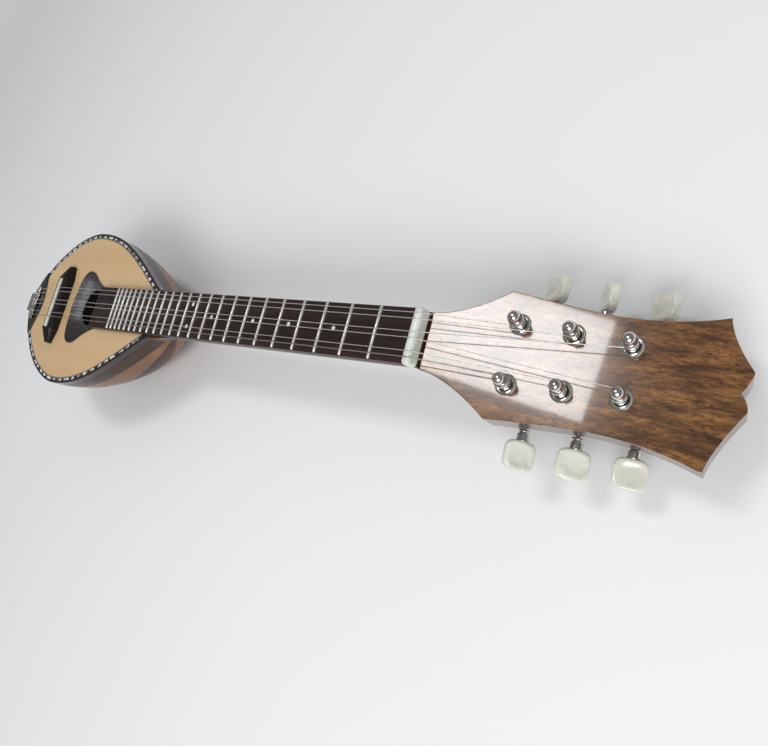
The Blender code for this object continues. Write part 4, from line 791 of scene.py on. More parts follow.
def level_loop(depth, inset):
    # The body's edge at one depth, from the far front corner round the tail to the near one
    tail = tail_at_depth(depth)
    far = []
    for i in range(EDGE_STATIONS):
        x = tail + (BODY_FRONT_X - tail) * (1.0 - math.sin(0.5 * math.pi * i / EDGE_STATIONS))
        far.append(Vector((x, half_at_depth(x, depth), 0.0)))
    line = far + [Vector((tail, 0.0, 0.0))] + [Vector((p.x, -p.y, 0.0)) for p in reversed(far)]
    loop = []
    for i, p in enumerate(line):
        run = (line[min(i + 1, len(line) - 1)] - line[max(i - 1, 0)]).normalized()
        inward = Vector((-run.y, run.x, 0.0))
        if i in (0, len(line) - 1):
            inward = Vector((0.0, 1.0 / inward.y, 0.0))
        loop.append(p + inward * inset)
    return loop


def edge_strip(rows):
    # A strip round the body's edge; each row of its section gives depth of the line, inset and drop
    lines = []
    for depth, inset, drop in rows:
        lines.append([Vector((p.x, p.y, TOP_Z - drop)) for p in level_loop(depth, inset)])
    return woven(len(lines[0]) - 1, len(rows), lambda i, j: lines[j][i], tube=True, capped=True)


def flowing(points, steps):
    # Soft line through the given points
    run = []
    for i in range(len(points) - 1):
        p0, p1, p2 = points[max(i - 1, 0)], points[i], points[i + 1]
        p3 = points[min(i + 2, len(points) - 1)]
        for k in range(steps):
            t = k / steps
            a = -0.5 * t ** 3 + t ** 2 - 0.5 * t
            b = 1.5 * t ** 3 - 2.5 * t ** 2 + 1.0
            c = -1.5 * t ** 3 + 2.0 * t ** 2 + 0.5 * t
            d = 0.5 * t ** 3 - 0.5 * t ** 2
            run.append(tuple(a * p0[n] + b * p1[n] + c * p2[n] + d * p3[n] for n in range(2)))
    run.append(tuple(points[-1]))
    return run


def both_halves(half):
    return list(half) + [(p[0], -p[1]) for p in reversed(half) if p[1] > 0.0]


def head_half(s):
    if s <= SHOULDER_S:
        return HEAD_NUT_HALF + (SHOULDER_HALF - HEAD_NUT_HALF) * (max(s, 0.0) / SHOULDER_S) ** SHOULDER_POWER
    if s <= WAIST_S:
        u = (s - SHOULDER_S) / (WAIST_S - SHOULDER_S)
        return WAIST_HALF + (SHOULDER_HALF - WAIST_HALF) * (1.0 - u) ** WAIST_POWER
    v = (s - WAIST_S) / (CORNER_S - WAIST_S)
    return WAIST_HALF + (CORNER_HALF - WAIST_HALF) * v ** CORNER_POWER


def head_lean(s):
    if s <= CORNER_S:
        return CORNER_LEAN * s / CORNER_S
    return CORNER_LEAN * max(0.0, (LOBE_S - s) / (LOBE_S - CORNER_S))


def head_outline(start):
    # Closed outline of the headstock from its nut end
    side_steps, cove_steps, lobe_steps = 20, 14, 8
    stops = (start, SHOULDER_S, WAIST_S, CORNER_S)
    half = []
    for low, high in zip(stops, stops[1:]):
        places = [low + (high - low) * i / side_steps for i in range(side_steps)]
        half += [(s, head_half(s)) for s in places]
    for i in range(cove_steps):
        w = i / cove_steps
        s = CORNER_S + (LOBE_S - CORNER_S) * w ** COVE_POWER
        half.append((s, CORNER_HALF + (LOBE_Y - CORNER_HALF) * w))
    for i in range(lobe_steps + 1):
        y = LOBE_Y * (1.0 - i / lobe_steps)
        half.append((NOTCH_S + (LOBE_S - NOTCH_S) * math.sin(0.5 * math.pi * y / LOBE_Y), y))
    return [(s, y - head_lean(s)) for s, y in both_halves(half)]


# Body

def flat_loop(inset):
    # The soundboard's own edge, set in, as an outline to saw to
    return [(p.x, p.y) for p in level_loop(0.0, inset)]


def make_soundboard():
    hole = ((SOUNDHOLE_X, 0.0, SOUNDHOLE_HALF_LENGTH, SOUNDHOLE_HALF_WIDTH),)
    ledge = TOP_Z - PURFLING_DEPTH - GAP
    top = sawn_plate(flat_loop(PURFLING_END + SEAM), ledge, TOP_Z, hole)
    foot = sawn_plate(flat_loop(PURFLING_START), TOP_Z - SOUNDBOARD_THICKNESS, ledge, hole)
    finished("soundboard_spruce", gathered(top, foot), SPRUCE, "spruce_top", ["soundboard"])


def make_binding():
    rows = [(BINDING_DEPTH, 0.0, BINDING_DEPTH)]
    rows += [tuple(BINDING_ROUND * part for part in point) for point in BINDING_CURVE]
    rows += [(0.0, BINDING_WIDTH, 0.0), (BINDING_DEPTH, BINDING_WIDTH, BINDING_DEPTH)]
    finished("binding_rim", edge_strip(rows), BINDING_BLACK, "dark_rosewood", ["edge_binding"])


def inlaid_strip(start, end, top, foot):
    # A flat strip let into the soundboard along its edge
    return edge_strip(((0.0, start, top), (0.0, start, foot), (0.0, end, foot), (0.0, end, top)))


def make_purfling():
    bed = inlaid_strip(PURFLING_START, PURFLING_END, PURFLING_BED_DROP, PURFLING_DEPTH)
    finished("purfling_bed", bed, BLACK_LINE, "pearl", ["pearl_purfling"])
    inset = PURFLING_END - LINE_INSET - LINE_WIDTH
    line = inlaid_strip(inset, inset + LINE_WIDTH, 0.0, LINE_DEPTH)
    finished("purfling_line", line, WHITE_LINE, "pearl")
    make_pearl_chips(PURFLING_START + SEAM, PURFLING_END - CHIP_INSET)


def make_pearl_chips(low, high):
    # Hand-cut shell chips set end to end round the edge, no two alike
    outer, inner = level_loop(0.0, low), level_loop(0.0, high)
    reach = [0.0]
    for a, b in zip(outer, outer[1:]):
        reach.append(reach[-1] + (b - a).length)

    def place(distance, share):
        distance = min(max(distance, 0.0), reach[-1])
        k = next(n for n in range(1, len(reach)) if reach[n] >= distance)
        t = (distance - reach[k - 1]) / (reach[k] - reach[k - 1])
        return outer[k - 1].lerp(outer[k], t).lerp(inner[k - 1].lerp(inner[k], t), share)

    drawn = random.Random(CHIP_DRAW)
    chips = []
    distance = CHIP_FIRST
    while distance < reach[-1] - CHIP_LAST_ROOM:
        length = drawn.uniform(*CHIP_LENGTHS)
        lean = drawn.uniform(-CHIP_LEAN, CHIP_LEAN)
        ahead, behind = max(lean, 0.0), max(-lean, 0.0)
        corners = ((ahead, 0.05), (0.5 * length, drawn.uniform(0.0, 0.15)), (length - behind, 0.1),
                   (length - ahead, 0.9), (0.45 * length, drawn.uniform(0.85, 1.0)), (behind, 0.92))
        outline = [place(distance + along, share)[:2] for along, share in corners]
        chips.append(sawn_plate(outline, TOP_Z - CHIP_DEPTH, TOP_Z + CHIP_PROUD, edge=CHIP_EDGE, steps=1))
        distance += length + CHIP_GAP * drawn.uniform(0.5, 1.4)
    # The chips' bright and near-black patches are painted reflection in their colour
    finished("purfling_shell_chips", gathered(*chips), SHELL, "pearl")


def make_skirt():
    upper = BINDING_DEPTH + GAP
    steps = 4
    depths = [upper + (SKIRT_DEPTH - upper) * k / steps for k in range(steps + 1)]
    rows = [(d, 0.0, d) for d in depths] + [(d, SKIRT_THICKNESS, d) for d in reversed(depths)]
    finished("bowl_skirt", edge_strip(rows), DARK_RIB, "dark_rosewood", ["skirt"])


def rib_start(x):
    # The angle down from level at which the ribs begin, under the skirt
    depth = SKIRT_DEPTH + GAP
    return math.atan2(depth, half_at_depth(x, depth))


def make_rib(number):
    k = number - 1

    def place(i, j):
        x = RIB_TAIL_X + (BODY_FRONT_X - RIB_TAIL_X) * (0.5 - 0.5 * math.cos(math.pi * i / RIB_STATIONS))
        first = rib_start(x)
        span = math.pi - 2.0 * first
        ease = RIB_HALF_SEAM / body_depth(x)
        low = first + span * k / RIB_COUNT + (ease if k > 0 else 0.0)
        high = first + span * (k + 1) / RIB_COUNT - (ease if k < RIB_COUNT - 1 else 0.0)
        outside = j <= RIB_FACETS
        share = (j if outside else 2 * RIB_FACETS + 1 - j) / RIB_FACETS
        # The edges are rounded a little, so each seam shows as a fine line
        rim = RIB_EDGE_ROUND if share in (0.0, 1.0) else 0.0
        return bowl_point(x, low + (high - low) * share, rim if outside else RIB_THICKNESS)

    work = woven(RIB_STATIONS, 2 * RIB_FACETS + 2, place, tube=True, capped=True)
    look, slot = (DARK_RIB, "dark_rosewood") if k % 2 else (LIGHT_RIB, "light_rosewood")
    finished(f"bowl_rib_{number}", work, look, slot, [f"rib_{number}"])


def make_tail_cap():
    rings, facets = 8, 24
    top = SKIRT_DEPTH + GAP
    tip = tail_at_depth(top)
    back = RIB_TAIL_X - SEAM

    def place(i, j):
        x = tip + (back - tip) * (i / rings) ** 2
        if i == 0:
            return Vector((tip, 0.0, TOP_Z - top))
        first = rib_start(x)
        p = bowl_point(x, first + (math.pi - 2.0 * first) * j / facets)
        p.z = min(p.z, TOP_Z - top)
        return p

    work = woven(rings, facets + 1, place, tube=True, capped=True)
    finished("bowl_tail_cap", work, DARK_RIB, "dark_rosewood", ["tail_cap"])


# Neck and headstock

def neck_section(half, top, low, share, power=NECK_ROUNDNESS):
    # Point of the section under the flat top; a high power squares it
    angle = math.pi * share
    wide = abs(math.cos(angle)) / half
    deep = math.sin(angle) / (top - low)
    r = (wide ** power + deep ** power) ** (-1.0 / power)
    return r * math.cos(angle), top - r * math.sin(angle)


def shaft_point(x, front, share):
    # The neck swells to its heel at the body and a little towards the headstock
    blend = eased(max(0.0, 1.0 - (x - front) / HEEL_BLEND_LENGTH))
    depth = NECK_DEPTH_NUT + (NECK_DEPTH_BODY - NECK_DEPTH_NUT) * (x / front)
    depth += NECK_SWELL * max(0.0, 1.0 + x / NECK_SWELL_LENGTH) ** 2
    half = board_half(x) + (JOINT_HALF_WIDTH - board_half(x)) * blend
    depth = depth + (JOINT_DEPTH - depth) * blend
    y, z = neck_section(half, TOP_Z, TOP_Z - depth, share)
    return Vector((x, y, z))


def throat_point(mix, share):
    # From the neck's round section to the squared one of the headstock
    s = CORE_START_S + (CORE_BLEND_S - CORE_START_S) * mix
    mix = eased(mix)
    low = -(CORE_START_DEPTH + (HEAD_THICKNESS - CORE_START_DEPTH) * mix)
    soft = neck_section(head_half(s), CORE_TOP, low, share)
    hard = neck_section(head_half(s), CORE_TOP, low, share, HEAD_SQUARENESS)
    y, off = [a + (b - a) * mix for a, b in zip(soft, hard)]
    return on_head(s, y - head_lean(s), off)


def make_neck_shaft():
    around, heel_steps, shaft_steps, throat_steps = 48, 14, 10, 9
    front = BODY_FRONT_X + GAP
    nut_end = NUT_LENGTH + 2.0 * GAP
    stops = [front + HEEL_BLEND_LENGTH * k / heel_steps for k in range(heel_steps + 1)]
    heel_end = stops[-1]
    stops += [heel_end - (NECK_NUT_BACK + heel_end) * k / shaft_steps for k in range(1, shaft_steps + 1)]
    count = len(stops)

    def place(i, j):
        share = j / around
        if i < count:
            return shaft_point(stops[i], front, share)
        if i > count:
            return throat_point((i - count - 1) / throat_steps, share)
        y, z = neck_section(board_half(0.0), TOP_Z, TOP_Z - NECK_DEPTH_NUT - NECK_SWELL, share)
        return Vector((nut_end + (z - TOP_Z) * math.tan(HEAD_TILT), y, z))

    return woven(count + throat_steps + 1, around + 1, place, tube=True, capped=True)


def post_holes(radius, side=0):
    # Round holes for the posts of one side, or of both sides
    return [(s, y, radius, radius) for _, hand, s, y in TUNERS if side in (0, hand)]


def make_neck():
    core = sawn_plate(head_outline(CORE_BLEND_S - CORE_OVERLAP), -HEAD_THICKNESS, CORE_TOP,
                      post_holes(POST_HOLE_RADIUS))
    rims = []
    for edge in rim_edges(core, (-HEAD_THICKNESS,)):
        to_post = min((v.co.xy - Vector((s, y))).length for v in edge.verts for _, _, s, y in TUNERS)
        if to_post > POST_HOLE_RIM and any(v.co.x > CORE_BLEND_S + GAP for v in edge.verts):
            rims.append(edge)
    soften(core, rims, CORE_EDGE)
    crease_flats(core)
    work = gathered(make_neck_shaft(), set_on_head(core))
    finished("neck_and_head_core", work, NECK_WOOD, "neck_wood", ["neck"])


def make_veneer():
    work = sawn_plate(head_outline(VENEER_START_S), -VENEER_THICKNESS, 0.0, post_holes(POST_HOLE_RADIUS),
                      edge=VENEER_EDGE)
    finished("headstock_face_veneer", set_on_head(work), VENEER_WOOD, "dark_rosewood", ["headstock_veneer"])


def make_fingerboard():
    spans = 12

    def place(i, j):
        x = BOARD_END_X * i / spans
        half = board_half(x)
        side = half - BOARD_CHAMFER
        corners = ((-half, BOARD_FOOT_Z), (-half, -BOARD_CHAMFER), (-side, 0.0), (side, 0.0),
                   (half, -BOARD_CHAMFER), (half, BOARD_FOOT_Z))
        y, z = corners[j]
        return Vector((x, y, z))

    work = woven(spans, 6, place, tube=True, capped=True)
    finished("fingerboard_rosewood", work, BOARD_WOOD, "fingerboard_wood", ["fingerboard"])


def make_fret(number):
    # Half-round wire with its ends filed round
    facets = 8
    x = fret_x(number)
    half = board_half(x) - FRET_INSET
    ends = ((-1.0, 0.25), (-0.985, 0.7), (-0.95, 1.0), (0.95, 1.0), (0.985, 0.7), (1.0, 0.25))

    def place(i, j):
        share, size = ends[i]
        if j > facets:
            return Vector((x, half * share, FRET_ROOT_Z))
        angle = math.pi * j / facets
        across = 0.5 * FRET_WIDTH * math.cos(angle) * (0.6 + 0.4 * size)
        return Vector((x + across, half * share, FRET_HEIGHT * size * math.sin(angle)))

    return woven(len(ends) - 1, facets + 2, place, tube=True, capped=True)


def make_frets():
    frets = [make_fret(number) for number in range(1, FRET_COUNT + 1)]
    finished("frets", gathered(*frets), FRET_METAL, "nickel", crease=50.0)


def make_position_dots():
    places = [(0.5 * (fret_x(n - 1) + fret_x(n)), 0.0) for n in DOT_FRETS]
    octave = 0.5 * (fret_x(11) + fret_x(12))
    places += [(octave, DOT_SPREAD), (octave, -DOT_SPREAD)]
    profile = ((0.0, DOT_CROWN), (DOT_RADIUS - DOT_EDGE, 0.75 * DOT_CROWN), (DOT_RADIUS, -DOT_CROWN),
               (DOT_RADIUS, -DOT_THICKNESS), (0.0, -DOT_THICKNESS))
    dots = [placed(turned(profile, 24), (x, y, 0.0)) for x, y in places]
    finished("position_dots", gathered(*dots), DOT_SHELL, "pearl")


def make_nut():
    half = board_half(0.0) + NUT_OVERHANG
    work = block((GAP, -half, BOARD_FOOT_Z), (GAP + NUT_LENGTH, half, NUT_TOP_Z), NUT_EDGE, 6, keep_foot=True)
    finished("nut_bone", work, BONE, "bone", ["nut"], crease=60.0)


# Fittings on the body

def make_pickguard():
    # The board's end closes the soundhole, so the guard is open there
    half_length, half_width = SOUNDHOLE_HALF_LENGTH - HOLE_LIP, SOUNDHOLE_HALF_WIDTH - HOLE_LIP
    opening = math.acos((GUARD_HALF[-1][0] - SOUNDHOLE_X) / half_length)
    rim = arc((SOUNDHOLE_X, 0.0), (half_length, half_width), opening, math.pi, 24)
    half = flowing(GUARD_HALF, 6) + rim[:-1] + [(SOUNDHOLE_X - half_length, 0.0)]
    work = sawn_plate(both_halves(half), BOARD_FOOT_Z, BOARD_FOOT_Z + GUARD_THICKNESS, edge=GUARD_EDGE)
    finished("pickguard_black", work, GUARD_BLACK, "black_guard", ["pickguard"])


def make_hole_lining():
    # Thin black lining that hides the soundboard's sawn edge in the soundhole
    radii = (SOUNDHOLE_HALF_LENGTH - LINING_GAP, SOUNDHOLE_HALF_WIDTH - LINING_GAP)
    outline = arc((SOUNDHOLE_X, 0.0), radii, 0.0, 2.0 * math.pi, HOLE_SIDES)[:-1]
    opening = ((SOUNDHOLE_X, 0.0, SOUNDHOLE_HALF_LENGTH - HOLE_LIP, SOUNDHOLE_HALF_WIDTH - HOLE_LIP),)
    low = TOP_Z - SOUNDBOARD_THICKNESS - LINING_DROP
    work = sawn_plate(outline, low, BOARD_FOOT_Z - LINING_GAP, opening)
    finished("soundhole_lining", work, GUARD_BLACK, "black_guard")


def make_bridge():
    section = ((-0.5, 0.0), (0.5, 0.0), (0.5, 0.62), (0.38, 1.0), (-0.38, 1.0), (-0.5, 0.62))

    def place(i, j):
        y, width, height = BRIDGE_STATIONS[i]
        u, v = section[j]
        return Vector((BRIDGE_X + u * width, y, BOARD_FOOT_Z + v * height))

    work = woven(len(BRIDGE_STATIONS) - 1, len(section), place, tube=True, capped=True)
    edges = [e for e in work.edges if any(v.co.z > BOARD_FOOT_Z + SEAM for v in e.verts)]
    soften(work, edges, BRIDGE_EDGE, 2)
    finished("bridge_ebony", work, EBONY, "ebony", ["bridge"], crease=30.0)


def make_saddle():
    half = 0.5 * SADDLE_WIDTH
    work = block((SADDLE_X - half, -SADDLE_HALF_LENGTH, BOARD_FOOT_Z + SADDLE_FOOT),
                 (SADDLE_X + half, SADDLE_HALF_LENGTH, SADDLE_TOP_Z), SADDLE_EDGE, 5, keep_foot=True)
    finished("saddle_bone", work, BONE, "bone", ["saddle"], crease=60.0)


def make_tail_guard():
    outline = [(x, y) for x, y in flat_loop(TAIL_GUARD_INSET) if x < TAIL_GUARD_CORNER_X]
    corner_x, corner_y = outline[0]
    steps = 12
    for i in range(1 - steps, steps):
        t = i / steps
        bow = abs(t) ** TAIL_GUARD_POWER
        outline.append((TAIL_GUARD_FRONT_X + (corner_x - TAIL_GUARD_FRONT_X) * bow, corner_y * t))
    work = sawn_plate(outline, BOARD_FOOT_Z, BOARD_FOOT_Z + TAIL_GUARD_THICKNESS, edge=TAIL_GUARD_EDGE)
    finished("tail_guard_black", work, GUARD_BLACK, "ebony", ["tail_guard"])


def tail_leaf_section():
    # Side view of the leaf: along the top, round the tail's edge and down
    inner = BODY_TAIL_X - TAIL_STAND_OFF
    outer = inner - TAIL_THICKNESS
    foot = TOP_Z - TAIL_DROP
    front = TAIL_FRONT_X - TAIL_BAR_LENGTH + TAIL_LEAF_LAP
    centre = (outer + TAIL_BEND, TAIL_TOP_Z - TAIL_BEND)
    inside = TAIL_BEND - TAIL_THICKNESS
    line = [(front, TAIL_TOP_Z)]
    line += arc(centre, (TAIL_BEND, TAIL_BEND), 0.5 * math.pi, math.pi, 6)
    line += [(outer, foot), (inner, foot)]
    line += arc(centre, (inside, inside), math.pi, 0.5 * math.pi, 6)
    line.append((front, TAIL_TOP_Z - TAIL_THICKNESS))
    return line


def make_tailpiece():
    # The leaf is drawn flat and turned up on its side
    leaf = sawn_plate(tail_leaf_section(), -TAIL_LEAF_HALF, TAIL_LEAF_HALF, edge=SHEET_EDGE, both=True,
                      steps=2)
    back = TAIL_FRONT_X - TAIL_BAR_LENGTH
    bar = block((back, -TAIL_BAR_HALF, TAIL_TOP_Z - TAIL_THICKNESS),
                (TAIL_FRONT_X, TAIL_BAR_HALF, TAIL_TOP_Z + TAIL_BAR_RISE), TAIL_BAR_EDGE)
    parts = [placed(leaf, (0.0, 0.0, 0.0), 1), bar]
    middle = 0.5 * (back + TAIL_FRONT_X)
    profile = [(radius, PIN_HEIGHT - drop) for radius, drop in PIN_HEAD] + [(PIN_RADIUS, 0.0), (0.0, 0.0)]
    for number in STRING_RADII:
        parts.append(placed(turned(profile, 20), (middle, string_y(number, "tail"), TAIL_TOP_Z)))
    finished("tailpiece_nickel", gathered(*parts), NICKEL, "nickel", ["tailpiece"])


def screw_head(radius, height):
    # A domed head with a sawn slot
    outline = arc((0.0, 0.0), (radius, radius), 0.0, 2.0 * math.pi, 28)[:-1]
    work = sawn_plate(outline, 0.0, height, edge=SCREW_DOME * height, steps=4)
    half = SCREW_SLOT_HALF * radius
    for side in (-half, half):
        bmesh.ops.bisect_plane(work, geom=work.verts[:] + work.edges[:] + work.faces[:], dist=0.5 * TOUCH,
                               plane_co=(0.0, side, 0.0), plane_no=(0.0, 1.0, 0.0))
    strip = [f for f in work.faces if f.normal.z > 0.5 and all(abs(v.co.y) <= half + TOUCH for v in f.verts)]
    raise_faces(work, strip, -SCREW_SLOT_DEPTH * height)
    bmesh.ops.delete(work, geom=strip, context="FACES_ONLY")
    return work


# Strings

def string_y(number, where):
    # Two strings to a course, the first course on the far side
    course = 1 - (number - 1) // 2
    place_in_pair = 1.0 if number % 2 else -1.0
    return course * COURSE_AT[where] + place_in_pair * PAIR_AT[where]


def string_end(radius, pin, start, along):
    # The twisted end, then the loop round the pin
    side = Vector((0.0, 1.0, 0.0))
    lift = along.cross(side).normalized()
    points = []
    for k in range(TWIST_TURNS * TWIST_STEPS, -1, -1):
        a = 2.0 * math.pi * k / TWIST_STEPS
        reach = start + along * (k / TWIST_STEPS * TWIST_PITCH * radius)
        points.append(reach + (side * math.cos(a) + lift * math.sin(a)) * TWIST_REACH * radius)
    bend = PIN_RADIUS + radius
    loop = arc((0.0, 0.0), (bend, bend), LOOP_START, LOOP_START + LOOP_ANGLE, 16)
    return points + [pin + Vector((x, y, 0.0)) for x, y in loop]


def string_winding(radius, tuner):
    # The turns round a post, from the top down
    _, hand, s, y = TUNERS[tuner - 1]
    wind = POST_WAIST + radius
    points = []
    for i in range(WINDING_TURNS * WINDING_STEPS + 1):
        a = hand * math.pi * (2.0 * i / WINDING_STEPS - 0.5)
        off = WINDING_TOP - WINDING_START - WINDING_PITCH * radius * i / WINDING_STEPS
        points.append(on_head(s + wind * math.cos(a), y + wind * math.sin(a), off))
    return points


def string_line(number):
    # From its end at the pin over saddle and nut to the post
    radius = STRING_RADII[number]
    middle = TAIL_FRONT_X - 0.5 * TAIL_BAR_LENGTH
    pin = Vector((middle, string_y(number, "tail"), TAIL_TOP_Z + STRING_ON_PIN))
    saddle = Vector((SADDLE_X, string_y(number, "saddle"), SADDLE_TOP_Z + radius))
    nut = Vector((NUT_CREST_X, string_y(number, "nut"), NUT_TOP_Z + radius))
    along = (saddle - pin).normalized()
    start = pin + along * (PIN_RADIUS + radius + TWIST_START)
    points = string_end(radius, pin, start, along)
    points += [start.lerp(saddle, share) for share in (0.0, 0.25, 0.5, 0.75, 0.97)]
    points += [saddle.lerp(nut, share) for share in (0.0, 0.02, 0.5, 0.98, 1.0)]
    points.append(nut + NUT_EXIT)
    return points + string_winding(radius, TUNER_OF_STRING[number])


def make_string(number):
    look = WOUND if number == 6 else STEEL
    work = drawn_wire(string_line(number), STRING_RADII[number])
    finished(f"string_{number}_wire", work, look, "string_steel", [f"string_{number}"], crease=60.0)


# Tuners

def both_flanks(flank):
    # Up one flank of a tooth and down the other, from heights and half widths
    return [(height, -half) for height, half in flank] + [(height, half) for height, half in reversed(flank)]


def make_gear():
    outline = []
    for k in range(GEAR_TEETH):
        middle = 2.0 * math.pi * (k + 0.5) / GEAR_TEETH
        for rise, half in both_flanks(GEAR_TOOTH):
            radius = GEAR_RADIUS + rise
            a = middle + half / radius
            outline.append((radius * math.cos(a), radius * math.sin(a)))
    low = WORM_OFF - 0.5 * GEAR_THICKNESS
    wheel = sawn_plate(outline, low, low + GEAR_THICKNESS, edge=GEAR_EDGE, both=True, steps=1)
    return gathered(wheel, placed(screw_head(GEAR_SCREW_RADIUS, GEAR_SCREW_HEIGHT), (0.0, 0.0, low), 2))


def make_post(number, s, y):
    # A ball on a collar, a waist for the string, two rings and a plain shaft down to the wheel
    profile = [(0.0, POST_KNOB + POST_BALL)]
    profile += arc((0.0, POST_KNOB), (POST_BALL, POST_BALL), math.radians(76.0), math.radians(-36.0), 8)
    profile += [
        (0.0020, 0.0080), (0.0022, 0.0079), (0.0031, 0.0077), (0.0033, 0.0074), (0.0033, 0.0071),
        (0.0030, 0.0069), (0.00245, 0.0068), (POST_WAIST, WINDING_TOP - 0.0004), (POST_WAIST, WINDING_FOOT),
        (0.0026, 0.0034), (POST_RADIUS, 0.0031), (POST_RADIUS, 0.0026), (0.0025, 0.00245), (0.0025, 0.0022),
        (POST_RADIUS, 0.00205), (POST_RADIUS, POST_FOOT + 0.0004), (0.0020, POST_FOOT), (0.0, POST_FOOT)]
    work = set_on_head(gathered(turned(profile, 36), make_gear()), s, y)
    finished(f"tuning_post_{number}", work, NICKEL, "nickel", [f"post_{number}"], f"tuner_{number}_post",
             crease=32.0)


def make_bushing(number, s, y):
    # A thin flange on the veneer, a raised lip and a sleeve in the post's hole
    top, sleeve = BUSHING_HEIGHT, POST_HOLE_RADIUS - GAP
    profile = (
        (BORE_RADIUS, top - 0.0003), (BORE_RADIUS + 0.0002, top - 0.00005), (BORE_RADIUS + 0.0006, top),
        (BUSHING_LIP - 0.0005, top - 0.00015), (BUSHING_LIP - 0.0001, top - 0.0005),
        (BUSHING_LIP, top - 0.0007), (BUSHING_FLANGE - 0.0001, top - 0.00075),
        (BUSHING_FLANGE, top - 0.0009), (BUSHING_FLANGE, 0.0), (sleeve, 0.0), (sleeve, -BUSHING_DEPTH),
        (BORE_RADIUS, -BUSHING_DEPTH))
    work = set_on_head(turned(profile, 36, ring=True), s, y)
    finished(f"post_bushing_{number}", work, NICKEL, "nickel", [f"bushing_{number}"], crease=30.0)


def on_worm(work, side, s, y):
    # From the worm's own frame, with +y running out to the button, to its place behind the headstock
    return set_on_head(placed(work, (0.0, 0.0, 0.0), 0 if side > 0 else 2), s + WORM_OFFSET_S, y, WORM_OFF)


def make_thread():
    # The worm's ridge, a tooth wound about y
    work = bmesh.new()
    start = -0.5 * WORM_TURNS * GEAR_PITCH
    verts = [work.verts.new((radius, start + reach, 0.0)) for radius, reach in both_flanks(WORM_THREAD)]
    edges = [work.edges.new(pair) for pair in zip(verts, verts[1:] + verts[:1])]
    bmesh.ops.spin(work, geom=verts + edges, cent=(0.0, 0.0, 0.0), axis=(0.0, 1.0, 0.0),
                   dvec=(0.0, GEAR_PITCH / WORM_STEPS, 0.0), angle=2.0 * math.pi * WORM_TURNS,
                   steps=WORM_STEPS * WORM_TURNS, use_merge=False, use_duplicate=False)
    close_ends(work)
    return work


def make_worm(number, side, s, y):
    inner = -(EAR_INNER + EAR_THICKNESS + SHAFT_PROUD)
    outer = BUTTON_START + SHAFT_IN_BUTTON
    shoulder = WORM_HALF_LENGTH + SHAFT_STEP
    profile = ((0.0, outer), (SHAFT_RADIUS, outer), (SHAFT_RADIUS, shoulder), (WORM_ROOT, WORM_HALF_LENGTH),
               (WORM_ROOT, -WORM_HALF_LENGTH), (SHAFT_RADIUS, -shoulder),
               (SHAFT_RADIUS, inner + SHAFT_CHAMFER), (SHAFT_RADIUS - SHAFT_CHAMFER, inner), (0.0, inner))
    shaft = placed(turned(profile, 24), (0.0, 0.0, 0.0), -1)
    work = on_worm(gathered(shaft, make_thread()), side, s, y)
    finished(f"worm_screw_{number}", work, NICKEL, "nickel", [f"worm_{number}"], f"tuner_{number}_worm",
             crease=32.0)


def rounded(t, power):
    # Height of a rounded outline at share t of its length
    return max(1.0 - abs(2.0 * t - 1.0) ** power, 0.0) ** (1.0 / power)


def squared(value, power):
    # A sine or cosine pushed out towards a square
    return math.copysign(abs(value) ** power, value)


def make_button(number, side, s, y):
    # A square pearl paddle with soft corners, hollowed a little on both faces
    turn = math.radians(BUTTON_TURNS[number])
    stem_end = BUTTON_START + STEM_LENGTHS[side]
    rings, sides = 22, 40

    def place(i, j):
        t = 0.5 - 0.5 * math.cos(math.pi * i / rings)
        a = 2.0 * math.pi * j / sides
        u = squared(math.cos(a), BUTTON_CORNER_POWER) * BUTTON_HALF * rounded(t, BUTTON_OUTLINE_POWER)
        v = squared(math.sin(a), BUTTON_FACE_POWER) * BUTTON_THIN * rounded(t, BUTTON_SIDE_POWER)
        hollow = max(0.0, 1.0 - (u / (DISH_WIDTH * BUTTON_HALF)) ** 2)
        hollow *= max(0.0, 1.0 - (DISH_LENGTH * (t - 0.5)) ** 2)
        v *= 1.0 - BUTTON_DISH * eased(hollow)
        along = u * math.cos(turn) - v * math.sin(turn)
        lift = u * math.sin(turn) + v * math.cos(turn)
        return Vector((along, stem_end - BUTTON_LAP + (BUTTON_LENGTH + BUTTON_LAP) * t, lift))

    paddle = on_worm(woven(rings, sides, place, tube=True), side, s, y)
    finished(f"pearl_button_{number}", paddle, BUTTON_PEARL, "pearl_buttons", [f"button_{number}"],
             f"tuner_{number}_worm", crease=60.0)


def make_ferrule(number, side, s, y):
    # A collar, a groove and a sleeve that holds the paddle
    low, high = BUTTON_START, BUTTON_START + STEM_LENGTHS[side]
    sleeve, groove = STEM_RADIUS - 0.0001, 0.0022
    profile = (
        (SHAFT_RADIUS, low), (STEM_RADIUS - 0.0003, low), (STEM_RADIUS, low + 0.0002),
        (STEM_RADIUS, low + 0.0008), (STEM_RADIUS - 0.0002, low + 0.0010), (groove, low + 0.0011),
        (groove, low + 0.0018), (STEM_RADIUS - 0.0003, low + 0.0019), (sleeve, low + 0.0021),
        (sleeve, high - 0.0006), (0.0024, high - 0.0003), (groove, high + BUTTON_LAP),
        (SHAFT_RADIUS, high + BUTTON_LAP))
    work = on_worm(placed(turned(profile, 32, ring=True), (0.0, 0.0, 0.0), -1), side, s, y)
    finished(f"button_ferrule_{number}", work, NICKEL, "nickel", body=f"tuner_{number}_worm", crease=32.0)


def rounded_box(x0, x1, y0, y1, radius):
    outline = []
    for quarter, centre in enumerate(((x1 - radius, y1 - radius), (x0 + radius, y1 - radius),
                                      (x0 + radius, y0 + radius), (x1 - radius, y0 + radius))):
        start = 0.5 * math.pi * quarter
        outline += arc(centre, (radius, radius), start, start + 0.5 * math.pi, 6)
    return outline


